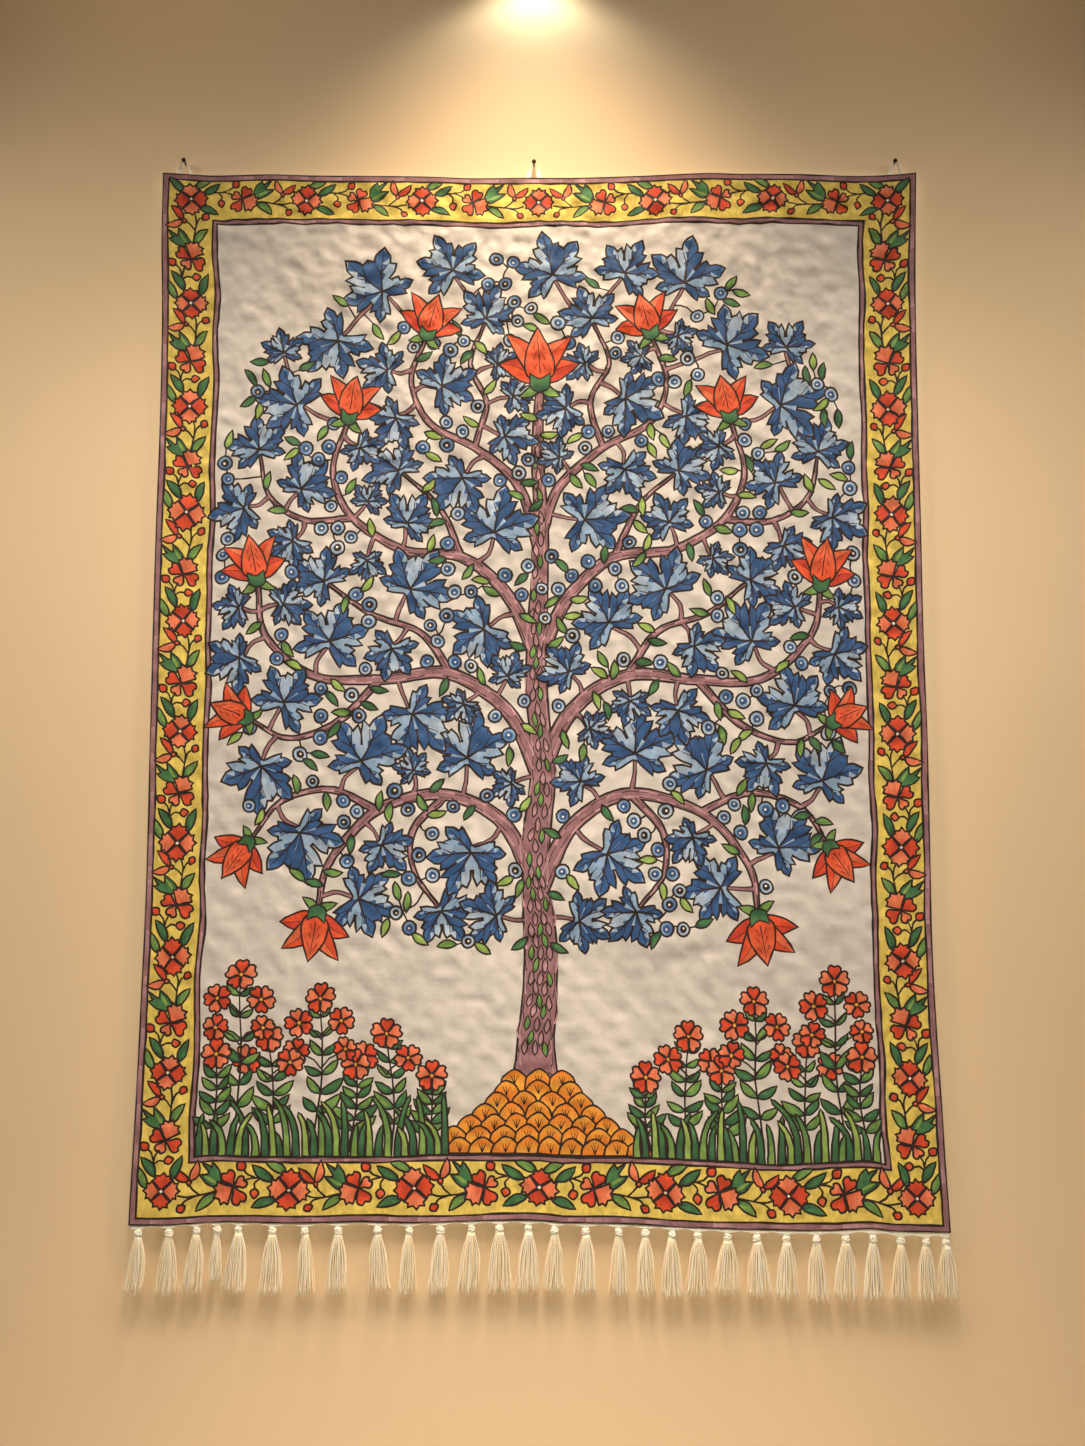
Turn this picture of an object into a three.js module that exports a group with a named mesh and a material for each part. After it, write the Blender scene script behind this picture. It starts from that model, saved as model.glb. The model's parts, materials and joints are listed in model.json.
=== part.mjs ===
// A painted cotton wall panel with a tasselled fringe, hung by three tape loops on three wall nails.
// Millimetres, +Z up. The painted face looks along -Y and the wall behind it is the plane Y = 0.
// The origin is on the axis of the centre nail, where the nail enters the wall.

import * as THREE from 'three';

// ---- driving dimensions ----

const CLOTH_WIDTH = 914;
const CLOTH_LENGTH = 1235;
const CLOTH_THICKNESS = 1.5;
const CLOTH_LEFT = -450; // X of the panel's left edge: the centre loop is sewn 7 mm left of the middle
const CLOTH_TOP = -14.5; // Z of the two top corners
const CLOTH_Y = -12; // middle of the cloth's thickness where it hangs flat
const CLOTH_COLUMNS = 26;
const CLOTH_ROWS = 36;

const SEAM_GAP = 0.3; // between pieces that are sewn or tied together
const TAPE_WIDTH = 6.5;
const TAPE_THICKNESS = 1.2;
const TAPE_BEHIND_HEM = 13; // length of each tape end sewn behind the top hem
const TAPE_BEHIND_HEAD = 1; // clear of the underside of the nail's head
const TAPE_STEPS = 24;

const NAIL_SHANK_RADIUS = 1;
const NAIL_HEAD_RADIUS = 2.7;
const NAIL_HEAD_THICKNESS = 2;
const NAIL_OUT_OF_WALL = 12.2; // from the wall to the underside of the head
const NAIL_IN_WALL = 18;
const NAIL_POINT = 3;
const NAIL_SIDES = 12;

const HEADING_THICKNESS = 1;
const HEADING_BEHIND_HEM = 9;
const HEADING_STEPS = 5; // columns between two tassels

const KNOT_RADIUS = 4.6;
const KNOT_LENGTH = 9;
const TASSEL_SIDES = 8;
const TASSEL_FLATNESS = 0.62; // depth over width, as the yarn hangs close to the wall

// Half width of a tassel's yarn, as a share of half its spread, at shares of its length.
const CUT_ENDS = [
  { down: 0.26, width: 0.52 },
  { down: 0.46, width: 0.76 },
  { down: 0.7, width: 0.86 },
  { down: 0.95, width: 1 },
  { down: 1, width: 0.72 },
];
const LOOPED_ENDS = [
  { down: 0.3, width: 0.74 },
  { down: 0.55, width: 1 },
  { down: 0.8, width: 0.92 },
  { down: 1, width: 0.3 },
];

// ---- the hanging shape, as tables of how far the edges stray from a true rectangle ----

// How far the top edge sags below its corners, `at` millimetres from the left.
const TOP_EDGE = [
  { at: 0, sag: 0 },
  { at: 25, sag: 1.8 },
  { at: 60, sag: 4.5 },
  { at: 130, sag: 4 },
  { at: 190, sag: 6 },
  { at: 320, sag: 6.6 },
  { at: 372, sag: 8 },
  { at: 443, sag: 6.4 },
  { at: 500, sag: 7 },
  { at: 580, sag: 5.5 },
  { at: 660, sag: 2.4 },
  { at: 700, sag: 3.4 },
  { at: 770, sag: 3 },
  { at: 840, sag: 5 },
  { at: 888, sag: 2.6 },
  { at: 914, sag: 0 },
];

// How far the bottom edge hangs below its left corner.
const BOTTOM_EDGE = [
  { at: 0, sag: 0 },
  { at: 40, sag: 0 },
  { at: 100, sag: -3.2 },
  { at: 180, sag: -1.6 },
  { at: 260, sag: -3 },
  { at: 310, sag: -1.6 },
  { at: 400, sag: -4.3 },
  { at: 455, sag: -4.4 },
  { at: 480, sag: -2.4 },
  { at: 545, sag: -1.2 },
  { at: 615, sag: 2 },
  { at: 725, sag: 5.8 },
  { at: 785, sag: 5.8 },
  { at: 825, sag: 3.8 },
  { at: 850, sag: 6 },
  { at: 914, sag: 7.5 },
];

// How far the two sides draw in from the corners, `at` millimetres down.
const SIDE_EDGES = [
  { at: 0, left: 0, right: 0 },
  { at: 85, left: 0.8, right: 3.2 },
  { at: 180, left: 4.4, right: 6 },
  { at: 300, left: 5.8, right: 7 },
  { at: 450, left: 5, right: 7.6 },
  { at: 560, left: 5.2, right: 8.3 },
  { at: 700, left: 6, right: 7.4 },
  { at: 850, left: 7, right: 9 },
  { at: 920, left: 6.4, right: 10 },
  { at: 1010, left: 4.8, right: 7.8 },
  { at: 1090, left: 3.8, right: 5.2 },
  { at: 1160, left: 2.2, right: 3.4 },
  { at: 1235, left: 0, right: 0 },
];

// Soft folds: each is an oval swelling towards the room, or a hollow where `rise` is negative.
// `across` and `down` place its middle and `turn` is the slope of its long axis in degrees.
const FOLDS = [
  { across: 225, down: 50, long: 330, wide: 190, turn: 0, rise: 4.5 },
  { across: 670, down: 45, long: 340, wide: 170, turn: 0, rise: 3.6 },
  { across: 450, down: 120, long: 360, wide: 150, turn: 88, rise: -2.6 },
  { across: 120, down: 160, long: 420, wide: 110, turn: 48, rise: -2.8 },
  { across: 800, down: 170, long: 400, wide: 120, turn: -52, rise: -3 },
  { across: 210, down: 620, long: 900, wide: 190, turn: 86, rise: 2.8 },
  { across: 420, down: 640, long: 700, wide: 150, turn: 94, rise: -2.2 },
  { across: 655, down: 560, long: 820, wide: 180, turn: 92, rise: 2.6 },
  { across: 60, down: 560, long: 560, wide: 110, turn: 90, rise: -2.6 },
  { across: 860, down: 640, long: 620, wide: 120, turn: 90, rise: -3.2 },
  { across: 560, down: 880, long: 260, wide: 100, turn: 24, rise: 3.4 },
  { across: 520, down: 960, long: 260, wide: 90, turn: 28, rise: -2.4 },
  { across: 790, down: 900, long: 300, wide: 110, turn: 8, rise: 3 },
  { across: 230, down: 940, long: 280, wide: 100, turn: -32, rise: 2.4 },
  { across: 20, down: 1190, long: 240, wide: 130, turn: 70, rise: 3.6 },
  { across: 890, down: 1200, long: 300, wide: 150, turn: -60, rise: 4.6 },
  { across: 330, down: 1215, long: 220, wide: 120, turn: 90, rise: -2 },
  { across: 640, down: 1215, long: 220, wide: 120, turn: 90, rise: 2.2 },
];

// Each loop of tape: where its nail is, and how far from the nail each leg meets the hem.
const LOOPS = [
  { side: 'left', nailX: -425.5, nailZ: 1.9, leftFoot: -6, rightFoot: 8, rightBow: 1.4 },
  { side: 'centre', nailX: 0, nailZ: 0, leftFoot: -7.2, rightFoot: 6.9, rightBow: 0 },
  { side: 'right', nailX: 439, nailZ: 1, leftFoot: -6.4, rightFoot: 6.8, rightBow: 0.6 },
];

// Each tassel: its place along the hem, how far its ends lean to the right,
// how wide they spread, and how far below the hem they reach. All are cut but one.
const TASSELS = [
  { at: 11, lean: -5, spread: 22, reach: 73 },
  { at: 45, lean: -3, spread: 24, reach: 74 },
  { at: 75.6, lean: -3, spread: 22, reach: 75 },
  { at: 98, lean: -2, spread: 13, reach: 66, ends: LOOPED_ENDS },
  { at: 122, lean: -4.5, spread: 25, reach: 76 },
  { at: 159.5, lean: -2, spread: 25, reach: 76 },
  { at: 196.5, lean: 1, spread: 21, reach: 78 },
  { at: 233, lean: -2, spread: 24, reach: 77 },
  { at: 277, lean: 3, spread: 24, reach: 76 },
  { at: 311.5, lean: -2, spread: 20, reach: 77 },
  { at: 346.5, lean: -3, spread: 23, reach: 77 },
  { at: 381, lean: -3.5, spread: 25, reach: 77 },
  { at: 412.5, lean: -0.5, spread: 28, reach: 78 },
  { at: 445, lean: -1.5, spread: 25, reach: 78 },
  { at: 474, lean: -2.5, spread: 22, reach: 76 },
  { at: 509, lean: -1.5, spread: 25, reach: 77 },
  { at: 545, lean: 0, spread: 21, reach: 77 },
  { at: 575, lean: 1, spread: 21, reach: 76 },
  { at: 604, lean: 0, spread: 23, reach: 76 },
  { at: 633.5, lean: -1, spread: 25, reach: 72 },
  { at: 666, lean: -2.5, spread: 28, reach: 71 },
  { at: 699.5, lean: 1, spread: 26, reach: 72 },
  { at: 732, lean: -0.5, spread: 25, reach: 73 },
  { at: 765.5, lean: 0.5, spread: 23, reach: 76 },
  { at: 797.5, lean: -1.5, spread: 25, reach: 75 },
  { at: 827.5, lean: -0.5, spread: 22, reach: 76 },
  { at: 858, lean: -1.5, spread: 21, reach: 74 },
  { at: 886, lean: 1, spread: 21, reach: 73 },
  { at: 909, lean: 2, spread: 24, reach: 73 },
];

// How far the fringe heading shows below the hem at a tassel, and midway between two.
const HEADING_SHOWS = [
  { at: 0, tassel: 3.4, between: 0.6 },
  { at: 450, tassel: 4, between: 1 },
  { at: 700, tassel: 4.4, between: 1.6 },
  { at: 914, tassel: 6.4, between: 3 },
];

// ---- materials ----

function finish(name, color, roughness, metalness) {
  const material = new THREE.MeshStandardMaterial({ color, roughness, metalness });
  material.name = name;
  return material;
}

const PAINTED_CLOTH = finish('painted cotton', 0xe4dacb, 0.75, 0);
const COTTON_YARN = finish('cream cotton yarn', 0xecd9b0, 0.9, 0);
const COTTON_TAPE = finish('cream cotton tape', 0xf0e4cb, 0.85, 0);
const DARK_STEEL = finish('dark steel', 0x3a2620, 0.45, 0.8);

// ---- reading the tables ----

// The slope of a table's column at one of its rows.
function rowSlope(rows, column, index) {
  const before = rows[Math.max(index - 1, 0)];
  const after = rows[Math.min(index + 1, rows.length - 1)];
  return (after[column] - before[column]) / (after.at - before.at);
}

// The value of `column` at a distance, on a smooth curve through the rows.
function readTable(rows, column, at) {
  const last = rows.length - 1;
  const found = rows.findIndex((row) => row.at >= at);
  const next = found < 0 ? last : Math.max(found, 1);
  const before = rows[next - 1];
  const span = rows[next].at - before.at;
  const t = THREE.MathUtils.clamp((at - before.at) / span, 0, 1);
  const start = before[column] + span * rowSlope(rows, column, next - 1) * t * (1 - t) ** 2;
  const end = rows[next][column] - before[column];
  return start + end * t * t * (3 - 2 * t) - span * rowSlope(rows, column, next) * t * t * (1 - t);
}

// How far the folds push one point of the cloth towards the room.
function foldRise(across, down) {
  let rise = 0;
  for (const fold of FOLDS) {
    const angle = THREE.MathUtils.degToRad(fold.turn);
    const dx = across - fold.across;
    const dz = down - fold.down;
    const along = (dx * Math.cos(angle) + dz * Math.sin(angle)) / (fold.long / 2);
    const beside = (dz * Math.cos(angle) - dx * Math.sin(angle)) / (fold.wide / 2);
    rise += fold.rise * Math.exp(-along * along - beside * beside);
  }
  return rise;
}

// The same rise read between the corners of the cloth's own facets, for pieces that lie against it.
function facetRise(across, down) {
  const column = THREE.MathUtils.clamp(across / (CLOTH_WIDTH / CLOTH_COLUMNS), 0, CLOTH_COLUMNS - 1e-6);
  const row = THREE.MathUtils.clamp(down / (CLOTH_LENGTH / CLOTH_ROWS), 0, CLOTH_ROWS - 1e-6);
  const left = Math.floor(column) * (CLOTH_WIDTH / CLOTH_COLUMNS);
  const top = Math.floor(row) * (CLOTH_LENGTH / CLOTH_ROWS);
  const right = left + CLOTH_WIDTH / CLOTH_COLUMNS;
  const bottom = top + CLOTH_LENGTH / CLOTH_ROWS;
  const upper = THREE.MathUtils.lerp(foldRise(left, top), foldRise(right, top), column % 1);
  const lower = THREE.MathUtils.lerp(foldRise(left, bottom), foldRise(right, bottom), column % 1);
  return THREE.MathUtils.lerp(upper, lower, row % 1);
}

// Where a point of the flat cloth hangs: X and Z on the middle of its thickness.
function clothX(across, down) {
  const share = across / CLOTH_WIDTH;
  const left = readTable(SIDE_EDGES, 'left', down);
  const right = CLOTH_WIDTH - readTable(SIDE_EDGES, 'right', down);
  return CLOTH_LEFT + THREE.MathUtils.lerp(left, right, share);
}

function clothZ(across, down) {
  const share = down / CLOTH_LENGTH;
  const top = readTable(TOP_EDGE, 'sag', across);
  const bottom = CLOTH_LENGTH + readTable(BOTTOM_EDGE, 'sag', across);
  return CLOTH_TOP - THREE.MathUtils.lerp(top, bottom, share);
}

// ---- the pieces ----

// Moves every corner of a box's grid. `place` is given the corner's shares of the box, from 0 to 1.
function shapedGrid(columns, rows, place) {
  const geometry = new THREE.BoxGeometry(1, 1, 1, columns, 1, rows);
  const position = geometry.attributes.position;
  for (let i = 0; i < position.count; i += 1) {
    const point = place(position.getX(i) + 0.5, 0.5 - position.getZ(i), position.getY(i));
    position.setXYZ(i, point.x, point.y, point.z);
  }
  geometry.computeVertexNormals();
  return geometry;
}

function panelCloth() {
  const geometry = shapedGrid(CLOTH_COLUMNS, CLOTH_ROWS, (shareAcross, shareDown, side) => {
    const across = shareAcross * CLOTH_WIDTH;
    const down = shareDown * CLOTH_LENGTH;
    const y = CLOTH_Y - foldRise(across, down) + side * CLOTH_THICKNESS;
    return { x: clothX(across, down), y, z: clothZ(across, down) };
  });
  return new THREE.Mesh(geometry, PAINTED_CLOTH);
}

// How far the heading shows below the hem: a point at each tassel and an arch between two.
function headingShows(at) {
  const next = TASSELS.findIndex((tassel) => tassel.at >= at);
  const deep = readTable(HEADING_SHOWS, 'tassel', at);
  if (next <= 0) {
    return deep;
  }
  const share = (at - TASSELS[next - 1].at) / (TASSELS[next].at - TASSELS[next - 1].at);
  const shallow = readTable(HEADING_SHOWS, 'between', at);
  return THREE.MathUtils.lerp(shallow, deep, Math.abs(2 * share - 1) ** 1.5);
}

// The places across the hem where the heading's lower edge has a corner.
function headingColumns() {
  const columns = [1.5];
  for (let i = 0; i < TASSELS.length - 1; i += 1) {
    for (let step = 0; step < HEADING_STEPS; step += 1) {
      columns.push(THREE.MathUtils.lerp(TASSELS[i].at, TASSELS[i + 1].at, step / HEADING_STEPS));
    }
  }
  columns.push(TASSELS[TASSELS.length - 1].at, CLOTH_WIDTH - 1);
  return columns;
}

// The back of the cloth at the bottom hem, moved back by the gap that a seam leaves.
function behindCloth(across, down) {
  return CLOTH_Y - facetRise(across, down) + CLOTH_THICKNESS / 2 + SEAM_GAP;
}

function fringeHeading() {
  const columns = headingColumns();
  const geometry = shapedGrid(columns.length - 1, 1, (shareAcross, shareDown, side) => {
    const across = columns[Math.round(shareAcross * (columns.length - 1))];
    const below = shareDown < 0.5 ? -HEADING_BEHIND_HEM : headingShows(across);
    const y = behindCloth(across, CLOTH_LENGTH + below) + (side + 0.5) * HEADING_THICKNESS;
    return { x: clothX(across, CLOTH_LENGTH), y, z: clothZ(across, CLOTH_LENGTH) - below };
  });
  return new THREE.Mesh(geometry, COTTON_TAPE);
}

// A knot over a skirt of yarn, turned round its own axis, then leant and flattened.
function tassel(row) {
  const shows = headingShows(row.at) + SEAM_GAP;
  const length = row.reach - shows;
  const profile = [new THREE.Vector2(0, -length)];
  for (const ring of [...(row.ends ?? CUT_ENDS)].reverse()) {
    profile.push(new THREE.Vector2((ring.width * row.spread) / 2, -length * ring.down));
  }
  profile.push(new THREE.Vector2(KNOT_RADIUS * 0.7, -KNOT_LENGTH));
  profile.push(new THREE.Vector2(KNOT_RADIUS, -KNOT_LENGTH / 2));
  profile.push(new THREE.Vector2(KNOT_RADIUS * 0.6, 0));
  profile.push(new THREE.Vector2(0, 0));
  const geometry = new THREE.LatheGeometry(profile, TASSEL_SIDES);
  const position = geometry.attributes.position;
  for (let i = 0; i < position.count; i += 1) {
    const hung = -position.getY(i) / length;
    const flatness = THREE.MathUtils.lerp(1, TASSEL_FLATNESS, Math.min(hung * 4, 1));
    const x = position.getX(i) + row.lean * hung * hung;
    position.setXYZ(i, x, -position.getZ(i) * flatness, position.getY(i));
  }
  geometry.computeVertexNormals();
  const mesh = new THREE.Mesh(geometry, COTTON_YARN);
  mesh.position.x = clothX(row.at, CLOTH_LENGTH);
  mesh.position.y = behindCloth(row.at, CLOTH_LENGTH) + HEADING_THICKNESS / 2;
  mesh.position.z = clothZ(row.at, CLOTH_LENGTH) - shows;
  return mesh;
}

// The hem's height at a loop, measured from its nail.
function hemBelowNail(loop) {
  return clothZ(loop.nailX - CLOTH_LEFT, 0) - loop.nailZ;
}

// One leg of a tape, from its end behind the hem up to the nail.
function loopLeg(loop, foot, bow) {
  const bend = NAIL_SHANK_RADIUS + SEAM_GAP + TAPE_THICKNESS / 2;
  const hem = hemBelowNail(loop);
  const slope = (Math.abs(foot) - bend) / -hem;
  return [1, 0.75, 0.5, 0.28, 0.1].map((share) => {
    const z = (hem - TAPE_BEHIND_HEM) * share;
    const out = bend - z * slope + 4 * bow * share * (1 - share);
    return new THREE.Vector3(Math.sign(foot) * out, 0, z);
  });
}

// The route of one tape in its own plane: up one leg, over the nail, and down the other.
function loopRoute(loop) {
  const bend = NAIL_SHANK_RADIUS + SEAM_GAP + TAPE_THICKNESS / 2;
  const over = [135, 90, 45].map((degrees) => {
    const angle = THREE.MathUtils.degToRad(degrees);
    return new THREE.Vector3(bend * Math.cos(angle), 0, bend * Math.sin(angle));
  });
  const up = loopLeg(loop, loop.leftFoot, 0);
  const down = loopLeg(loop, loop.rightFoot, loop.rightBow).reverse();
  return new THREE.CatmullRomCurve3([...up, ...over, ...down]);
}

// A flat tape that lies over the nail and turns through a quarter to lie flat behind the hem.
function hangingLoop(loop) {
  const route = loopRoute(loop);
  const atNail = -NAIL_OUT_OF_WALL + TAPE_BEHIND_HEAD + TAPE_WIDTH / 2;
  const flatBy = hemBelowNail(loop) + 2;
  const geometry = shapedGrid(TAPE_STEPS, 1, (share, acrossTape, through) => {
    const centre = route.getPoint(share);
    const tangent = route.getTangent(share);
    const outward = new THREE.Vector3(-tangent.z, 0, tangent.x);
    const fallen = THREE.MathUtils.clamp(centre.z / flatBy, 0, 1);
    const turn = fallen * fallen * (3 - 2 * fallen) * (Math.PI / 2);
    const across = new THREE.Vector3(0, Math.cos(turn), 0).addScaledVector(outward, Math.sin(turn));
    const face = new THREE.Vector3(0, -Math.sin(turn), 0).addScaledVector(outward, Math.cos(turn));
    const x = loop.nailX + centre.x;
    const z = loop.nailZ + centre.z;
    const atHem = behindCloth(x - CLOTH_LEFT, 0) + TAPE_THICKNESS / 2;
    const y = THREE.MathUtils.lerp(atNail, atHem, fallen);
    return new THREE.Vector3(x, y, z)
      .addScaledVector(across, (acrossTape - 0.5) * TAPE_WIDTH)
      .addScaledVector(face, through * TAPE_THICKNESS);
  });
  return new THREE.Mesh(geometry, COTTON_TAPE);
}

// A dome-headed nail, square to the wall, with its blunt point inside the wall.
function nail(loop) {
  const head = -NAIL_OUT_OF_WALL;
  const profile = [0, 30, 60, 90].map((degrees) => {
    const angle = THREE.MathUtils.degToRad(degrees);
    const along = head - NAIL_HEAD_THICKNESS * Math.cos(angle);
    return new THREE.Vector2(NAIL_HEAD_RADIUS * Math.sin(angle), along);
  });
  profile.push(new THREE.Vector2(NAIL_SHANK_RADIUS, head));
  profile.push(new THREE.Vector2(NAIL_SHANK_RADIUS, NAIL_IN_WALL - NAIL_POINT));
  profile.push(new THREE.Vector2(0, NAIL_IN_WALL));
  const mesh = new THREE.Mesh(new THREE.LatheGeometry(profile, NAIL_SIDES), DARK_STEEL);
  mesh.position.set(loop.nailX, 0, loop.nailZ);
  return mesh;
}

// ---- the assembled panel ----

const panel = new THREE.Group();

function add(name, mesh) {
  mesh.name = name;
  panel.add(mesh);
}

add('panel_cloth', panelCloth());
add('fringe_heading', fringeHeading());
TASSELS.forEach((row, i) => add(`tassel_${String(i + 1).padStart(2, '0')}`, tassel(row)));
for (const loop of LOOPS) {
  add(`hanging_loop_${loop.side}`, hangingLoop(loop));
  add(`nail_${loop.side}`, nail(loop));
}

export default panel;
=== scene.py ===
import json
import math

import bpy
import numpy as np
from mathutils import Matrix, Vector
from mathutils.bvhtree import BVHTree
from mathutils.geometry import delaunay_2d_cdt

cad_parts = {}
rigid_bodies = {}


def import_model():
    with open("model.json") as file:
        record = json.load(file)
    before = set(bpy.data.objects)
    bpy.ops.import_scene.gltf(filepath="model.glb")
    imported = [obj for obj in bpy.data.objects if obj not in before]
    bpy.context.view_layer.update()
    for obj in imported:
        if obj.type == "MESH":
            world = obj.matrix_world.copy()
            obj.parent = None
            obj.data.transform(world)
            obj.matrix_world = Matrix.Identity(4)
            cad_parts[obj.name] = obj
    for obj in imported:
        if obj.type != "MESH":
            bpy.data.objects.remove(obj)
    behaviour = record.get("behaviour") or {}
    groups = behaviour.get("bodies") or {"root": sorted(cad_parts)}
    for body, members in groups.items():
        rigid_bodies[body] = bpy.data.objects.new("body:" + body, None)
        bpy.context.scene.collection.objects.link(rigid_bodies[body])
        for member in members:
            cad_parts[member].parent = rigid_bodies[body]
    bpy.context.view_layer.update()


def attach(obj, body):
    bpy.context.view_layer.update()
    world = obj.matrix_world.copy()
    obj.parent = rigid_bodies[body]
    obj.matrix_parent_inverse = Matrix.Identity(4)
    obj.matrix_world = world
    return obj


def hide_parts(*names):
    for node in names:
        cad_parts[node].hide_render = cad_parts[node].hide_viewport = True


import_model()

# ------------------------------------------------------------------ viewpoint, backdrop and light
# The panel hangs a hand's width below a ceiling lamp, and is seen from below its middle.
# A pale plastered wall stands behind it and a pale floor lies well under the fringe.
# Soft lamps light it from the front and sides, and narrow warm ones fall from above.


def linear(colour):
    """An sRGB hex colour as linear red, green, blue and alpha."""
    channels = [int(colour[i : i + 2], 16) / 255 for i in (1, 3, 5)]
    return (*[c / 12.92 if c <= 0.04045 else ((c + 0.055) / 1.055) ** 2.4 for c in channels], 1.0)


def finish_named(name):
    """An empty material of that name."""
    material = bpy.data.materials.new(name)
    material.use_nodes = True
    material.node_tree.nodes.clear()
    return material


def node(material, kind, sockets, **settings):
    """Adds a node with its settings. Each named input gets a value, or a link from a node's first output."""
    added = material.node_tree.nodes.new("ShaderNode" + kind)
    for name, value in settings.items():
        setattr(added, name, value)
    for socket, value in sockets.items():
        value = value.outputs[0] if isinstance(value, bpy.types.Node) else value
        if isinstance(value, bpy.types.NodeSocket):
            material.node_tree.links.new(value, added.inputs[socket])
        else:
            added.inputs[socket].default_value = value
    return added


bpy.ops.object.select_all(action="DESELECT")
VIEWPOINT = (0.0105, -1.654, -0.877)
UPWARD_TILT = math.radians(96.61)  # 90 degrees is level
bpy.ops.object.camera_add(location=VIEWPOINT, rotation=(UPWARD_TILT, 0, 0))
camera = bpy.context.object
camera.data.lens = 35.5
camera.data.sensor_width = 36
bpy.context.scene.camera = camera
bpy.context.scene.view_settings.view_transform = "Standard"

FLOOR_HEIGHT = -1.75
FLOOR_SIZE = 6
WALL_MIDDLE = -0.55
WALL_SIZE = (3.4, 2.4, 1)

bpy.ops.mesh.primitive_plane_add(size=FLOOR_SIZE, location=(0, -1.5, FLOOR_HEIGHT))
floor = bpy.context.object
floor.name = "floor"

bpy.ops.mesh.primitive_plane_add(size=1, location=(0, 0, WALL_MIDDLE), rotation=(math.pi / 2, 0, 0))
wall = bpy.context.object
wall.name = "wall"
wall.scale = WALL_SIZE

# Matt emulsion: no gloss, and a faint unevenness from the roller.
plaster = finish_named("matt cream plaster")
place = node(plaster, "TexCoord", {})
roller = node(plaster, "TexNoise", {"Vector": place.outputs["Object"], "Scale": 9.0, "Detail": 3.0})
tone = node(plaster, "Mix", {"Factor": roller, 6: linear("#ead5b1"), 7: linear("#f0ddbc")}, data_type="RGBA")
matt = node(plaster, "BsdfPrincipled", {"Base Color": tone.outputs[2], "Roughness": 0.95})
# The wall stands only before the panel's front: from behind it is not there, so the back can be looked at.
seen_from = node(plaster, "NewGeometry", {})
ray = node(plaster, "LightPath", {})
from_behind, shadow = seen_from.outputs["Backfacing"], ray.outputs["Is Shadow Ray"]
let_through = node(plaster, "Math", {0: from_behind, 1: shadow}, operation="MAXIMUM")
clear = node(plaster, "BsdfTransparent", {})
either = node(plaster, "MixShader", {0: let_through, 1: matt, 2: clear})
node(plaster, "OutputMaterial", {"Surface": either})
wall.data.materials.append(plaster)

paint = finish_named("pale floor paint")
matt = node(paint, "BsdfPrincipled", {"Base Color": linear("#ddd2c0"), "Roughness": 0.8})
node(paint, "OutputMaterial", {"Surface": matt})
floor.data.materials.append(paint)

LIGHTS = [
    # name, kind, place, aimed at, width or cone, height or edge softness, watts, lamp radius, colour
    ("downlight above the panel", "SPOT", (0, -0.30, 0.35), (0, 0, -1.2), 100, 0.8, 5.4, 0.04, "#ffdcb2"),
    ("downlight's rim", "SPOT", (0, -0.05, 0.26), (0, -0.045, -1), 134, 0.4, 0.9, 0.02, "#fff4e0"),
    ("downlight's wide beam", "SPOT", (0, -0.26, 0.33), (0, 0, -1.20), 84, 1.0, 19, 0.1, "#ffdfb8"),
    ("high lamp", "SPOT", (0, -0.6, 0.9), (0, 0, -1.1), 70, 1.0, 26, 0.25, "#ffe9d1"),
    ("downlight's narrow beam", "SPOT", (0, -0.20, 0.40), (0, -0.03, -1.35), 36, 1.0, 12, 0.3, "#ffe6c8"),
    ("downlight's middle beam", "SPOT", (0, -0.26, 0.33), (0, 0, -1.40), 44, 1.0, 26, 0.35, "#ffe6c8"),
    ("lower panel lamp", "SPOT", (0, -0.85, 0.60), (0, 0, -1.30), 36, 1.0, 80, 0.3, "#ffe9d1"),
    ("left top lamp", "SPOT", (-0.48, -0.5, 0.5), (-0.48, 0, 0.36), 75, 1.0, 3.4, 0.1, "#ffdcae"),
    ("right top lamp", "SPOT", (0.48, -0.5, 0.5), (0.48, 0, 0.36), 75, 1.0, 3.4, 0.1, "#ffdcae"),
    ("left wall lamp", "SPOT", (-0.6, -0.55, 0.35), (-0.3, 0, -1.30), 60, 1.0, 17, 0.08, "#ffe9d1"),
    ("right wall lamp", "SPOT", (0.6, -0.55, 0.35), (0.3, 0, -1.30), 60, 1.0, 17, 0.08, "#ffe9d1"),
    ("left lamp", "SPOT", (-0.9, -0.9, 0.6), (-0.4, 0, -1.0), 70, 1.0, 19, 0.12, "#ffe9d1"),
    ("right lamp", "SPOT", (0.9, -0.9, 0.6), (0.4, 0, -1.0), 70, 1.0, 17, 0.12, "#ffe9d1"),
    ("left side lamp", "SPOT", (-1.3, -0.7, 0.2), (-0.3, 0, -0.9), 90, 1.0, 25, 0.2, "#ffe9d1"),
    ("right side lamp", "SPOT", (1.3, -0.7, 0.2), (0.3, 0, -0.9), 90, 1.0, 22, 0.2, "#ffe9d1"),
    ("front lamp", "SPOT", (0, -1.6, 0.3), (0, 0, -0.9), 70, 1.0, 18, 0.25, "#fff0de"),
    ("low softbox", "AREA", (0, -1.1, -1.55), (0, 0, -1.45), 1.2, 0.4, 2, 0, "#ffe9d1"),
    ("back light", "AREA", (0.6, 1.9, 0.1), (0, 0, -0.7), 1.6, 1.4, 34, 0, "#fff6ea"),
]
for name, kind, at, aim, wide, high, watts, radius, colour in LIGHTS:
    turn = (Vector(aim) - Vector(at)).to_track_quat("-Z", "Y").to_euler()
    bpy.ops.object.light_add(type=kind, location=at, rotation=turn)
    lamp = bpy.context.object
    lamp.name = name
    lamp.data.energy = watts
    lamp.data.color = linear(colour)[:3]
    if kind == "SPOT":
        lamp.data.spot_size = math.radians(wide)
        lamp.data.spot_blend = high
        lamp.data.shadow_soft_size = radius
    else:
        lamp.data.shape = "RECTANGLE"
        lamp.data.size, lamp.data.size_y = wide, high

ROOM_LIGHT = 0.05

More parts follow.
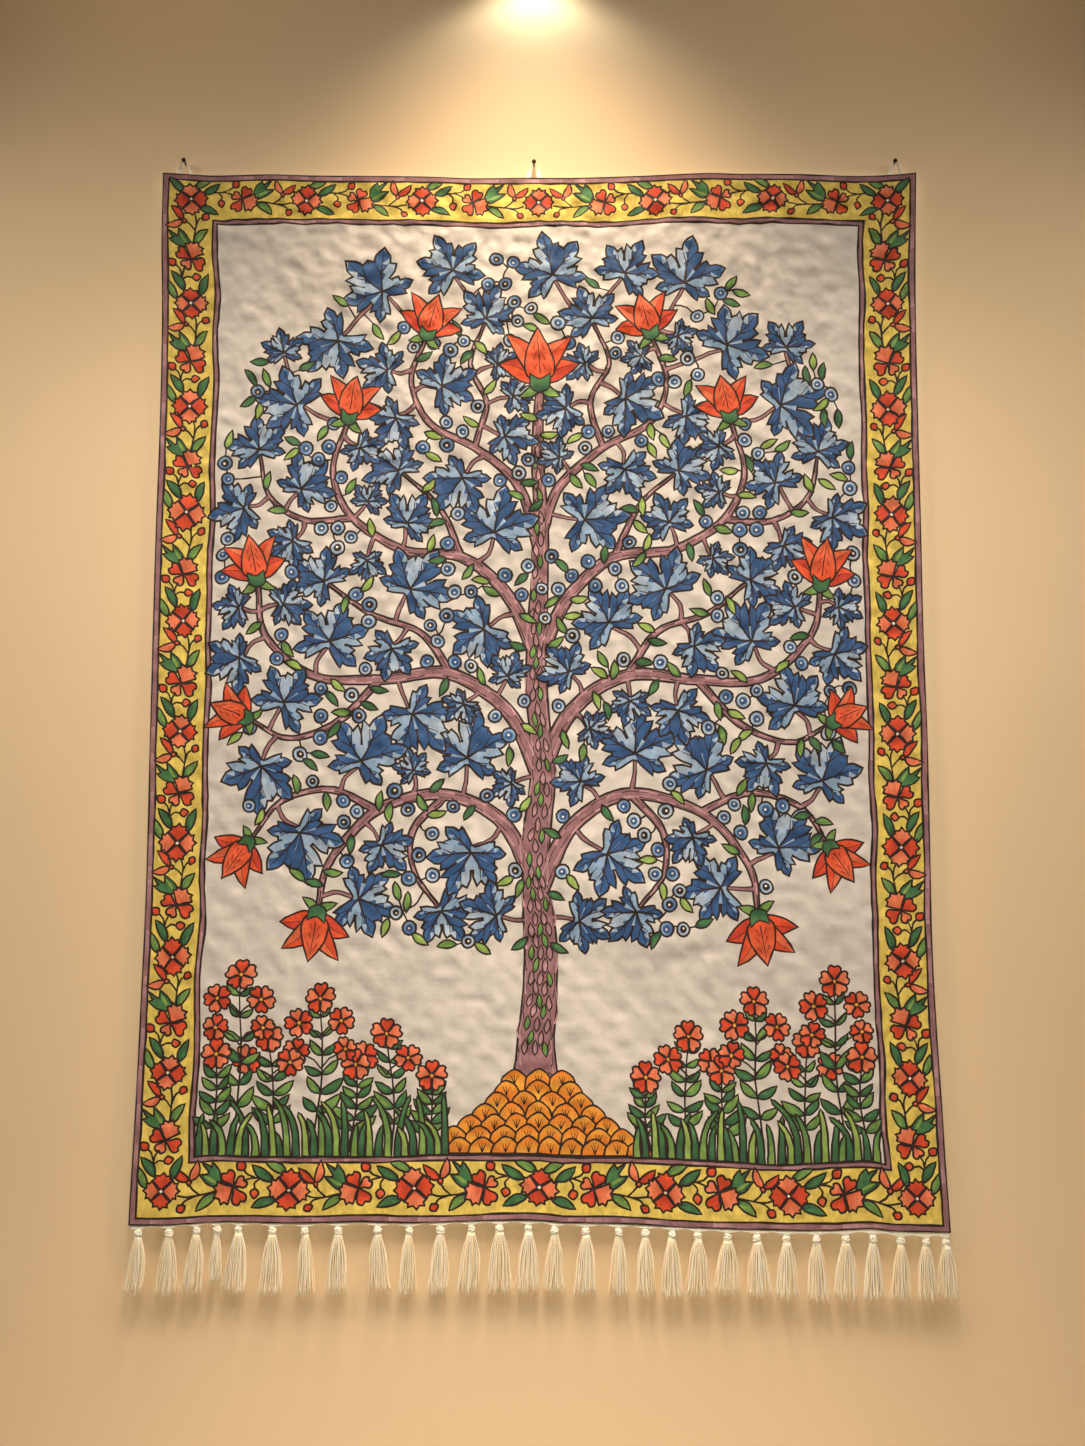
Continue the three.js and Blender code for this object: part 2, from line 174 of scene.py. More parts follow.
world = bpy.data.worlds.new("pale room")
world.use_nodes = True
background = world.node_tree.nodes["Background"]
background.inputs[0].default_value = linear("#e9dfd0")
background.inputs[1].default_value = ROOM_LIGHT
bpy.context.scene.world = world

# ------------------------------------------------------------------ panel cloth
# One piece of plain-woven cotton, 914 by 1235 mm, with its hem turned in behind the mauve edge.
# The design is drawn in ink and washed in with dyes by hand, so lines and washes wander a little.
# It hangs from three points, with soft folds between them and the small dimples of damp-painted cloth.

CLOTH_WIDTH = 914
CLOTH_LENGTH = 1235
CLOTH_THICKNESS = 1.5
HEM_WIDTH = 12
CLOTH_LEFT = -450
CLOTH_TOP = -14.5
CLOTH_Y = -12

TOP_EDGE = [
    # at, sag
    (0, 0), (25, 1.8), (60, 4.5), (130, 4), (190, 6), (320, 6.6), (372, 8), (443, 6.4),
    (500, 7), (580, 5.5), (660, 2.4), (700, 3.4), (770, 3), (840, 5), (888, 2.6), (914, 0),
]
BOTTOM_EDGE = [
    # at, sag
    (0, 0), (40, 0), (100, -3.2), (180, -1.6), (260, -3), (310, -1.6), (400, -4.3), (455, -4.4),
    (480, -2.4), (545, -1.2), (615, 2), (725, 5.8), (785, 5.8), (825, 3.8), (850, 6), (914, 7.5),
]
SIDE_EDGES = [
    # at, drawn in at the left, drawn in at the right
    (0, 0, 0), (85, 0.8, 3.2), (180, 4.4, 6), (300, 5.8, 7), (450, 5, 7.6), (560, 5.2, 8.3), (700, 6, 7.4),
    (850, 7, 9), (920, 6.4, 10), (1010, 4.8, 7.8), (1090, 3.8, 5.2), (1160, 2.2, 3.4), (1235, 0, 0),
]
FOLDS = [
    # across, down, long, wide, turn, rise
    (225, 50, 330, 190, 0, 4.5), (670, 45, 340, 170, 0, 3.6), (450, 120, 360, 150, 88, -2.6),
    (120, 160, 420, 110, 48, -2.8), (800, 170, 400, 120, -52, -3), (210, 620, 900, 190, 86, 2.8),
    (420, 640, 700, 150, 94, -2.2), (655, 560, 820, 180, 92, 2.6), (60, 560, 560, 110, 90, -2.6),
    (860, 640, 620, 120, 90, -3.2), (560, 880, 260, 100, 24, 3.4), (520, 960, 260, 90, 28, -2.4),
    (790, 900, 300, 110, 8, 3), (230, 940, 280, 100, -32, 2.4), (20, 1190, 240, 130, 70, 3.6),
    (890, 1200, 300, 150, -60, 4.6), (330, 1215, 220, 120, 90, -2), (640, 1215, 220, 120, 90, 2.2),
]
# Narrower creases, each a soft ridge between two points, or a trough where the rise is negative.
CREASES = [
    # across, down, to across, to down, half width, rise
    (585, 935, 660, 905, 9, 1.3), (590, 955, 675, 925, 9, -1.2), (560, 905, 640, 880, 10, -0.8),
    (715, 810, 850, 822, 6, 0.9), (725, 832, 860, 842, 6, 0.9), (722, 852, 858, 864, 6, 0.8),
    (735, 873, 850, 886, 7, 0.8), (745, 896, 842, 908, 7, 0.7),
    (80, 862, 190, 905, 8, 0.9), (95, 895, 215, 940, 9, -0.9), (70, 930, 160, 985, 9, 0.8),
    (640, 150, 735, 78, 8, 0.9), (665, 168, 770, 88, 8, -0.8), (705, 175, 790, 112, 8, 0.7),
    (196, 74, 204, 205, 4, 0.8), (150, 128, 216, 150, 4, 0.6), (176, 92, 226, 196, 4, -0.5),
    (300, 80, 340, 190, 7, -0.6), (470, 75, 455, 150, 9, 0.8), (545, 80, 600, 160, 8, -0.7),
]


def read_table(rows, at, column=1):
    """A column of a table on a smooth curve through its rows."""
    table = np.array(rows, float)
    places, values = table[:, 0], table[:, column]
    before = np.r_[0, np.arange(len(rows) - 1)]
    after = np.r_[np.arange(1, len(rows)), len(rows) - 1]
    slope = (values[after] - values[before]) / (places[after] - places[before])
    k = np.clip(np.searchsorted(places, at), 1, len(rows) - 1)
    span = places[k] - places[k - 1]
    t = np.clip((at - places[k - 1]) / span, 0, 1)
    start = values[k - 1] + span * slope[k - 1] * t * (1 - t) ** 2
    return start + (values[k] - values[k - 1]) * t * t * (3 - 2 * t) - span * slope[k] * t * t * (1 - t)


def ripples(x, y, seed, count, shortest, longest):
    """An even, aimless unevenness from many small waves, about 1 high."""
    chance = np.random.default_rng(seed)
    height = np.zeros(np.shape(x))
    for _ in range(count):
        length = chance.uniform(shortest, longest)
        way, shift = chance.uniform(0, math.tau, 2)
        height += np.sin((x * math.cos(way) + y * math.sin(way)) * math.tau / length + shift)
    return height / math.sqrt(count / 2)


def cloth_rise(across, down):
    """How far the cloth swells towards the room, in millimetres."""
    rise = np.zeros(np.shape(across))
    for at_across, at_down, long, wide, turn, high in FOLDS:
        c, s = math.cos(math.radians(turn)), math.sin(math.radians(turn))
        dx, dz = across - at_across, down - at_down
        along, off = (dx * c + dz * s) / (long / 2), (dz * c - dx * s) / (wide / 2)
        rise += high * np.exp(-(along**2) - off**2)
    to_edge = np.minimum.reduce([across, CLOTH_WIDTH - across, down, CLOTH_LENGTH - down])
    open_cloth = np.clip((to_edge - 4) / 24, 0, 1)
    for x0, z0, x1, z1, half, high in CREASES:
        step = complex(x1 - x0, z1 - z0)
        along = ((across - x0) * step.real + (down - z0) * step.imag) / abs(step) ** 2
        off = ((down - z0) * step.real - (across - x0) * step.imag) / abs(step)
        off = off + 2.5 * np.sin(along * 5 + x0)
        rise += open_cloth * high * np.exp(-((off / half) ** 2)) * np.exp(-((2.1 * along - 1.05) ** 4))
    # Dimples 20 to 30 mm apart, strongest near the top where the cloth is held, and faint at the hems.
    dimples = ripples(across, down, 5, 26, 17, 34)
    rise += open_cloth * (0.46 + 0.5 * np.exp(-down / 220)) * dimples
    # The hem is two layers thick, and its stitches draw it into small puckers.
    hem = np.clip((HEM_WIDTH - to_edge) / 3, 0, 1)
    pucker = np.sin(across * 0.47 + 2 * np.sin(across * 0.05))
    pucker = pucker * np.sin(down * 0.43 + 2 * np.sin(down * 0.043))
    return rise + hem * 0.25 + 0.22 * np.exp(-(((to_edge - HEM_WIDTH) / 7) ** 2)) * pucker


def hung(across, down, behind=0.0):
    """Where points of the flat cloth hang, in metres, and `behind` it by so many millimetres."""
    left, right = read_table(SIDE_EDGES, down, 1), CLOTH_WIDTH - read_table(SIDE_EDGES, down, 2)
    top, bottom = read_table(TOP_EDGE, across), CLOTH_LENGTH + read_table(BOTTOM_EDGE, across)
    x = CLOTH_LEFT + left + (right - left) * across / CLOTH_WIDTH
    z = CLOTH_TOP - (top + (bottom - top) * down / CLOTH_LENGTH)
    return np.stack([x, CLOTH_Y - cloth_rise(across, down) + behind, z], axis=-1) / 1000


# The design is drawn flat, in millimetres: x from the middle to the right, y up from the bottom hem.
# A point is x + yj. A shape is an outline, its dye, the dye its wash fades to, and where the wash runs.
DYES = {
    "ink": "#251a1b", "cotton": "#d6d5d4", "mauve": "#946e79", "pale mauve": "#b9949f",
    "yellow": "#e0cd68", "red": "#c4402a", "deep red": "#a83322", "orange red": "#dc522b",
    "salmon": "#db6c48", "pale salmon": "#e98a66",
    "dark green": "#2a5d43", "green": "#4a8350", "leaf green": "#80a653", "light green": "#a0bf69",
    "navy": "#1f4275", "blue": "#33629e", "sky": "#86a8ce", "pale blue": "#b6c7da",
    "orange": "#dd7a22", "ochre": "#e3a640", "white": "#efe8dc",
}
# Pairs of dyes that a wash runs between.
RED, SALMON = ("red", "orange red"), ("salmon", "pale salmon")
DEEP_GREEN, GREEN = ("dark green", "green"), ("green", "leaf green")
LIGHT_GREEN = ("leaf green", "light green")
drawing = []


def curve(points, steps=5, closed=False):
    """A smooth line through the points, open or closed."""
    points = np.asarray(points, complex)
    if closed:
        before, after = points[-1:], points[:2]
    else:
        before, after = 2 * points[:1] - points[1:2], 2 * points[-1:] - points[-2:-1]
    p = np.concatenate([before, points, after])
    a, b, c, d = (p[i : len(p) - 3 + i, None] for i in range(4))
    t = np.arange(steps) / steps
    line = b + ((c - a) * t + (2 * a - 5 * b + 4 * c - d) * t**2 + (3 * b - a - 3 * c + d) * t**3) / 2
    return line.ravel() if closed else np.append(line.ravel(), points[-1])


def runs(*lines, steps=4):
    """An outline of smooth runs that meet in corners."""
    return np.concatenate([curve(line, steps)[:-1] for line in lines])


def anticlockwise(outline):
    area = (outline.real * np.roll(outline.imag, -1) - outline.imag * np.roll(outline.real, -1)).sum()
    return outline if area > 0 else outline[::-1]


def both_sides(line, steps=4):
    """An outline whose other half mirrors the line across the x axis."""
    return runs(line, np.conj(line[::-1]), steps=steps)


def grown(outline, by):
    """The outline moved outwards by that much, or inwards if it is negative."""
    outline = anticlockwise(outline)
    step = np.roll(outline, -1) - outline
    normal = -1j * step / np.maximum(abs(step), 1e-9)
    corner = normal + np.roll(normal, 1)
    return outline + by * corner / np.maximum(abs(corner) ** 2 / 2, 0.7)


def washed(outline, dye, far=None, start=0, end=1):
    """A shape in a dye, which fades to another from start to end."""
    return (np.asarray(outline, complex), dye, far or dye, complex(start), complex(end))


def inked(outline, dye, far=None, start=0, end=1, line=2.0):
    """A shape in its dye with its outline drawn in ink."""
    return [washed(grown(outline, line / 2), "ink"), washed(grown(outline, -line / 2), dye, far, start, end)]


def stroke(points, first, last, steps=4, tip=0.0):
    """The outline of a brush stroke along a smooth line, from its first width to its last."""
    line = curve(points, steps)
    way = np.gradient(line)
    half = np.linspace(first, last, len(line)) / 2
    side = 1j * way / np.maximum(abs(way), 1e-9) * half
    return np.concatenate([line + side, [line[-1] + tip * way[-1] / abs(way[-1])], (line - side)[::-1]])


def pen(points, first, last, steps=4):
    """A line drawn in ink."""
    return washed(stroke(points, first, last, steps), "ink")


def leaf_shape(length, width, bend=0.0, fullest=0.45, points=7):
    """A pointed leaf from 0 along x, its middle line bent by a share of its length."""
    t = np.linspace(0, 1, points)
    half = width / 2 * np.sin(np.pi * t ** (math.log(0.5) / math.log(fullest))) ** 0.85
    middle = length * t + 1j * length * bend * 4 * t * (1 - t)
    return np.concatenate([middle + 1j * half, (middle - 1j * half)[-2:0:-1]])


def round_shape(radius, points=10, at=0):
    return at + radius * np.exp(1j * np.linspace(0, math.tau, points, endpoint=False))


def moved(shapes, at=0, turn=0.0, mirror=False, stretch=1.0):
    """The shapes turned by degrees and put down at a point, mirrored first if asked."""
    spin = np.exp(1j * math.radians(turn)) * stretch
    done = []
    for outline, dye, far, start, end in shapes:
        if mirror:
            outline, start, end = outline.conj(), start.conjugate(), end.conjugate()
        done.append((at + outline * spin, dye, far, at + start * spin, at + end * spin))
    return done


# ---- the border: a vine with a full flower, a half-open one, buds and leaves in each repeat

EDGE_BAND = 8.8  # mauve and ink, over the hem
GROUND_ENDS = np.array([55.6, 61.8, 65.2])  # the yellow ground stops here: top, sides and bottom
FRAME_WIDTH = 8.0  # the mauve line between two ink lines, round the field
FIELD_BOTTOM = GROUND_ENDS[2] + FRAME_WIDTH

chance = np.random.default_rng(11)


def corners_inside(inset):
    """The corners of a rectangle inside the hems, by one inset or by one for top, sides and bottom."""
    top, side, bottom = np.broadcast_to(inset, 3)
    x, low, high = CLOTH_WIDTH / 2 - side, bottom, CLOTH_LENGTH - top
    return [complex(-x, low), complex(x, low), complex(x, high), complex(-x, high)]


def rectangle(inset, wander=0.45, spacing=13):
    """A ruled rectangle, as straight as a hand draws it."""
    corners = corners_inside(inset)
    sides = []
    for start, end in zip(corners, corners[1:] + corners[:1]):
        count = int(abs(end - start) / spacing)
        line = start + (end - start) * np.arange(count) / count
        off = chance.uniform(-wander, wander, count)
        off[0] = 0
        sides.append(line + 1j * (end - start) / abs(end - start) * off)
    return np.concatenate(sides)


def patches(inset, width, dye, far, count):
    """Lighter and darker lengths of a narrow band, where the brush was filled again."""
    corners = corners_inside(inset)
    for start, end in zip(corners, corners[1:] + corners[:1]):
        way = (end - start) / abs(end - start)
        for share in np.sort(chance.uniform(0.02, 0.95, count)):
            begin = start + (end - start) * share
            stop = begin + way * min(chance.uniform(14, 44), abs(end - begin) - 6)
            off = 1j * way * width / 2
            drawing.append(washed([begin - off, stop - off, stop + off, begin + off], dye, far, begin, stop))


drawing.append(washed(rectangle(1.6), "mauve"))
patches(4.1, 4.0, "pale mauve", "mauve", 19)
drawing.append(washed(rectangle(EDGE_BAND - 2.3), "ink"))
drawing.append(washed(rectangle(EDGE_BAND), "yellow"))
drawing.append(washed(rectangle(GROUND_ENDS), "ink"))
drawing.append(washed(rectangle(GROUND_ENDS + 2.3), "mauve"))
patches(GROUND_ENDS + 4.0, 2.6, "pale mauve", "mauve", 12)
drawing.append(washed(rectangle(GROUND_ENDS + 5.7), "ink"))
drawing.append(washed(rectangle(GROUND_ENDS + FRAME_WIDTH), "cotton"))

PETAL = [0.06, 0.26 + 0.22j, 0.47 + 0.46j, 0.63 + 0.61j, 0.75 + 0.44j, 0.94 + 0.47j, 0.91 + 0.19j, 1.12]
HEART = [0.02, 0.30 + 0.17j, 0.58 + 0.40j, 0.84 + 0.41j, 1.0 + 0.21j, 0.88]


def petal(half_outline, length, dye, far):
    """A petal with a scalloped or toothed end, darker at its base."""
    half = np.array(half_outline, complex) * length
    outline = curve(np.concatenate([half, half[-2:0:-1].conj()]), 2, closed=True)
    return inked(outline, dye, far, 0.25 * length, 0.95 * length, line=2.2)


def full_flower(size, colours, centre="white"):
    """Four broad petals in a cross round a pale dot."""
    shapes = []
    for quarter, (dye, far) in enumerate(colours):
        shapes += moved(petal(PETAL, size, dye, far), 0.6 * 1j**quarter, 90 * quarter)
    for quarter in range(4):
        shapes.append(washed(stroke([3 * 1j**quarter, 7 * 1j**quarter], 1.0, 0.4, 1), "deep red"))
    return shapes + [washed(round_shape(2.9, 8), "ink"), washed(round_shape(1.7, 8), centre)]


def veined_leaf(length, width, dye, far, bend=0.0, line=2.2, vein=0.75):
    """A pointed leaf, one half in each dye, with its vein in ink."""
    outline = leaf_shape(length, width, bend)
    inner = grown(outline, -line / 2)
    middle = length * np.linspace(0.06, 0.94, 5)
    middle = middle + 1j * length * bend * 4 * (middle / length) * (1 - middle / length)
    upper = inner[inner.imag >= np.interp(inner.real, middle.real, middle.imag) - 0.1]
    upper = upper[np.argsort(upper.real)]
    shapes = [washed(grown(outline, line / 2), "ink"), washed(inner, dye)]
    shapes.append(washed(np.concatenate([upper, middle[::-1]]), far))
    shapes.append(pen(middle[: 1 + int(vein * 5)], 1.1, 0.5, 2))
    return shapes


def washed_leaf(length, width, dye, far, bend=0.0, line=2.1):
    """A pointed leaf, paler towards its tip, with one pale stroke of the brush along it."""
    shapes = inked(leaf_shape(length, width, bend), dye, far, 0.1 * length, length, line)
    streak = leaf_shape(length * 0.62, width * 0.34, bend, points=5)
    return shapes + [washed(length * 0.2 + 0.11j * width + streak, far, dye, 0.3 * length, length)]


def round_bud(radius, dye="orange red", far="salmon"):
    outline = curve([radius, radius * 1j, -radius * 1.25, -radius * 1j], 3, closed=True)
    return inked(outline, dye, far, -radius, radius, line=2.1)


FLOWER_SIZE = 17.6
LONG_REPEAT = 140.0
DRAWN_BAND = 51.0  # the width of ground that the repeat is drawn for


def border_repeat(length):
    """One repeat of the vine along x, with the two-petalled bud on its upper side."""
    k = length / LONG_REPEAT
    jitter = chance.normal(0, 0.5, 16)

    def at(x, y):
        return complex(x * k, y)

    twigs = [
        [(18, -5), (30, -7.5), (45, -6), (64, -3)], [(86, 4), (98, 10), (112, 11), (124, 7)],
        [(31, 3), (34, -1), (42, -6.5)], [(24, -14), (28, -10), (38, -7)],
        [(90, 18), (95, 13.5), (103, 11.5)], [(104, -1), (103, 5), (108, 10.5)],
    ]
    shapes = [pen([at(*p) for p in points], 2.2, 2.0, 3) for points in twigs]
    three = runs(
        [at(66, 1), at(57, 0), at(48, 5), at(40, 13.5)], [at(40, 13.5), at(49, 13), at(50, 16), at(42, 26)],
        [at(42, 26), at(51, 22), at(52.5, 19)], [at(52.5, 19), at(55, 24.5), at(54.5, 26)],
        [at(54.5, 26), at(62, 18), at(65, 10), at(66, 1)], steps=3,
    )
    light = runs([at(64, 3), at(54, 5), at(45, 12)], [at(45, 12), at(53, 10), at(64, 3)], steps=2)
    base, heart, flower = at(29.5, 7 + jitter[0]), at(79.5, 1 + jitter[4]), at(LONG_REPEAT, 0)
    for part, place, turn in (
        # The two-petalled bud with its round calyx, and a bud below it.
        (washed_leaf(23, 8.4, *RED, 0.07), base, 140 + 4 * jitter[1]),
        (washed_leaf(22, 9, *SALMON, -0.1), base, 72 + 4 * jitter[2]),
        (round_bud(2.7), base - 1j, 90),
        (round_bud(4.1, *RED), at(22, -18), -150),
        # The single leaf and the leaf with three points.
        (washed_leaf(25, 9.4, *GREEN, -0.06), at(61, -6), 216 + 3 * jitter[3]),
        (inked(three, *DEEP_GREEN, at(44, 10), at(64, 12), line=2.0), 0, 0),
        ([washed(light, "leaf green")], 0, 0),
        # The half-open flower.
        (petal(HEART, 14, *SALMON), heart, 32),
        (petal(HEART, 17, *RED), heart, 118 + 3 * jitter[5]),
        (petal(HEART, 18, *RED), heart, -62 + 3 * jitter[6]),
        (petal(PETAL, 20, *SALMON), heart, 208 + 3 * jitter[7]),
        ([washed(round_shape(1.6, 7), "ink")], heart, 0),
        # Two round buds on curved stalks.
        (round_bud(4.6, "orange red", "red"), at(87, 21 + jitter[8]), -45),
        (round_bud(4.4, "orange red", "salmon"), at(103.5, -5 + jitter[9]), 80),
        # The pair of leaves above the next flower, and the one below it.
        (washed_leaf(27, 9.6, *DEEP_GREEN, 0.05), flower - 15 + 8j, 146 + 3 * jitter[10]),
        (washed_leaf(24, 9, *GREEN, -0.05), flower - 3 + 16j, 156 + 3 * jitter[11]),
        (washed_leaf(27, 9.6, *DEEP_GREEN, -0.05), flower - 11 - 10j, 200 + 3 * jitter[12]),
    ):
        shapes += moved(part, place, turn)
    return shapes


band_top, band_side, band_bottom = GROUND_ENDS - EDGE_BAND  # the yellow ground's width
right_x = CLOTH_WIDTH / 2 - EDGE_BAND - band_side / 2
left_x = -right_x
low_y, high_y = EDGE_BAND + band_bottom / 2, CLOTH_LENGTH - EDGE_BAND - band_top / 2
LENGTHS = [
    # from, to, repeats, mirrored, ground's width: the two-petalled buds are outermost but along the bottom
    (complex(0, high_y), complex(right_x, high_y), 3, False, band_top),
    (complex(0, high_y), complex(left_x, high_y), 3, True, band_top),
    (complex(left_x, low_y), complex(0, low_y), 3, False, band_bottom),
    (complex(right_x, low_y), complex(0, low_y), 3, True, band_bottom),
    (complex(left_x, high_y), complex(left_x, low_y), 9, True, band_side),
    (complex(right_x, high_y), complex(right_x, low_y), 9, False, band_side),
]
flowers = {}
for start, end, count, mirrored, band in LENGTHS:
    turn = math.degrees(math.atan2((end - start).imag, (end - start).real))
    scale = band / DRAWN_BAND
    for number in range(count):
        at = start + (end - start) * number / count
        drawing += moved(border_repeat(abs(end - start) / count / scale), at, turn, mirrored, scale)
        for place in (at, start + (end - start) * (number + 1) / count):
            flowers[(round(place.real), round(place.imag))] = (place, scale)
for number, (place, scale) in enumerate(flowers.values()):
    order = [SALMON, RED] if number % 3 else [RED, SALMON]
    tilt = 8 * math.sin(number * 2.3)
    size = FLOWER_SIZE * scale * (1 + 0.05 * math.sin(number * 1.7))
    if abs(place.imag - high_y) < 1 and abs(place.real) > right_x - 1:
        out = 1 if place.real > 0 else -1
        corner_leaf = washed_leaf(27, 9.6, *DEEP_GREEN)
        drawing += moved(corner_leaf, place + complex(8 * out, 8), 90 - 45 * out)
    drawing += moved(full_flower(size, order * 2), place, tilt)

# ---- the field: a tree of life on a mound, its boughs alike on both sides


FIELD_HALF = 384  # from the middle to where motifs may stand
CROWN_MIDDLE, CROWN_ABOVE, CROWN_BELOW = 735, 398, 425
CROWN_SQUARENESS = 2.6  # 2 is an ellipse


def crown_share(at):
    """Below 1 inside the rounded outline of the crown."""
    across = abs(at.real) / FIELD_HALF
    up = (at.imag - CROWN_MIDDLE) / np.where(at.imag > CROWN_MIDDLE, CROWN_ABOVE, CROWN_BELOW)
    return across**CROWN_SQUARENESS + abs(up) ** CROWN_SQUARENESS


BOUGHS = [
    # first width, last width, size of the blossom at its end, points on the right of the middle line
    (19, 5, 62, [(3, 372), (40, 446), (108, 482), (188, 462), (244, 404), (254, 352)]),
    (18, 5, 60, [(0, 500), (38, 578), (104, 622), (186, 616), (262, 618), (322, 666), (334, 726)]),
    (16, 4.5, 58, [(0, 634), (34, 712), (92, 762), (164, 772), (222, 808), (246, 866), (232, 926)]),
    (12, 4, 58, [(0, 775), (26, 850), (78, 896), (132, 926), (154, 978), (138, 1030)]),
    (9, 3.5, 0, [(108, 482), (146, 440), (146, 392), (116, 352)]),
    (9, 3.5, 54, [(188, 462), (246, 486), (306, 470), (336, 428)]),
    (9, 3.5, 52, [(186, 616), (236, 566), (296, 546), (340, 566)]),
    (9, 3.5, 0, [(104, 622), (142, 672), (200, 694), (248, 730)]),
    (8, 3, 0, [(222, 808), (280, 806), (322, 834), (334, 884)]),
    (8, 3, 0, [(92, 762), (116, 820), (164, 862)]),
    (7, 3, 0, [(78, 896), (62, 950), (84, 1000), (66, 1052)]),
]
TRUNK = [
    # first width, last width, points
    (60, 37, [(0, 120), (-3, 165), (-2, 224)]),
    (42, 9, [(-5, 180), (4, 290), (-4, 390), (4, 510), (-3, 634), (3, 775), (-1, 890), (0, 968)]),
]

# Free room round each point of a lattice over the field, kept as motifs are put down.
chance = np.random.default_rng(12)
LATTICE_STEP = 4
across_field = np.arange(-FIELD_HALF, FIELD_HALF + 1, LATTICE_STEP)
up_field = np.arange(160, 1160, LATTICE_STEP)
lattice = (across_field[None, :] + 1j * up_field[:, None]).ravel()
room = np.minimum(FIELD_HALF + 2 - abs(lattice.real), 1166 - lattice.imag)
joints = []


def hold(places, radius):
    """Keeps spots of the field free of other motifs."""
    global room
    for place in np.atleast_1d(places):
        room = np.minimum(room, abs(lattice - place) - radius)


def snug_place(radius, furthest, reach=1.0, slack=2.5):
    """A free spot of that radius, close against what is there already and near a twig."""
    fits = np.flatnonzero((room > radius) & (crown_share(lattice) < reach))
    for k in fits[np.argsort(room[fits] + chance.uniform(0, slack, len(fits)))][:60]:
        spot = complex(lattice[k])
        foot = nearest_joint(spot)
        if abs(foot - spot) < furthest:
            return spot, foot
    return None


def snug_places(most, *wanted):
    """Up to that many snug places, each found once the one before has been filled."""
    for number in range(most):
        found = snug_place(*wanted)
        if not found:
            return
        yield (number, *found)


def nearest_joint(at):
    spots = np.array(joints)
    return complex(spots[np.argmin(abs(spots - at))])


def limb_line(first, last, points, steps=8):
    """The middle line of a limb, the way it runs and how wide it is there."""
    line = curve(points, steps)
    return line, np.gradient(line), np.linspace(first, last, len(line))


limbs, ends = [], []
for first, last, points in TRUNK:
    limbs.append((first, last, [complex(*p) for p in points]))
for first, last, bloom, points in BOUGHS:
    for side in (1, -1):
        line = [complex(side * x, y) for x, y in points]
        limbs.append((first, last, line))
        ends.append((line[-1], line[-1] - line[-2], bloom, side))
ends.append((968j, 1j, 74, 1))
for limb in limbs:
    line, _, width = limb_line(*limb)
    for p, w in list(zip(line, width))[::2]:
        hold(p, w / 2 - 2)
        joints.append(complex(p))

# A leaf with five toothed lobes, the motif of the crown: each lobe is washed dark on one side of its vein.
LOBES = [(-116, 0.72), (-57, 0.93), (0, 1.0), (57, 0.93), (116, 0.72)]


def polar(angle, radius):
    return radius * np.exp(1j * math.radians(angle))


def lobed_leaf(size, number):
    """A five-lobed leaf round 0, with its stalk towards -x."""
    line = 2.5
    outline, lobes = [], []
    for k, (angle, long) in enumerate(LOBES):
        long = size * long * (1 + 0.07 * math.sin(number * 3.1 + angle))
        angle += 5 * math.sin(number * 1.9 + k * 2)
        halves = []
        for way, inner_edge in ((-1, k == 0), (1, k == 4)):
            foot = polar(angle + way * (50 if inner_edge else 28), size * (0.15 if inner_edge else 0.36))
            tooth = long * (0.76 + 0.05 * math.sin(number * 1.3 + k + way))
            low = [foot, polar(angle + way * 29, long * 0.56), polar(angle + way * 24, tooth)]
            notch, shoulder = polar(angle + way * 14, long * 0.69), polar(angle + way * 10, long * 0.84)
            high = [notch, shoulder, polar(angle, long)]
            halves.append(np.concatenate([curve(low, 2), curve(high, 2)]))
        rising, falling = halves[0][:-1], halves[1][::-1]
        begin = len(outline)
        outline += list(rising) + list(falling)
        lobes.append((begin, begin + len(rising), len(outline), angle, long))
    outline = np.array(outline)
    inner = grown(outline, -line / 2)
    shapes = [washed(grown(outline, line / 2), "ink"), washed(inner, "sky", "pale blue", 0, size)]
    for k, (begin, peak, end, angle, long) in enumerate(lobes):
        # The dark wash lies along one side of the vein and is flicked across it in long points.
        side = 1 if (k + number) % 2 else -1
        flicks = [0]
        for share in (0.24, 0.46, 0.66):
            flicks.append(polar(angle, long * share))
            aside = 14 - 7 * share + 2 * math.sin(number + k + share * 20)
            flicks.append(polar(angle + side * aside, long * (share + 0.17)))
        flicks.append(polar(angle, long * 0.94))
        edge = inner[begin : peak + 1] if side > 0 else inner[peak : end][::-1]
        dark_side = np.concatenate([flicks, edge[::-1]])
        shapes.append(washed(dark_side, "navy", "blue", 0, polar(angle, long * 0.9)))
    for k, (begin, peak, end, angle, long) in enumerate(lobes):
        tip = polar(angle, long * 0.88)
        shapes.append(pen([0, polar(angle + 2, long * 0.45), tip], 2.6, 1.0, 2))
        for share, way in ((0.36, 30), (0.44, -30)):
            foot = polar(angle, long * share)
            shapes.append(pen([foot, foot + polar(angle + way, long * 0.30)], 1.6, 0.8, 1))
    return shapes


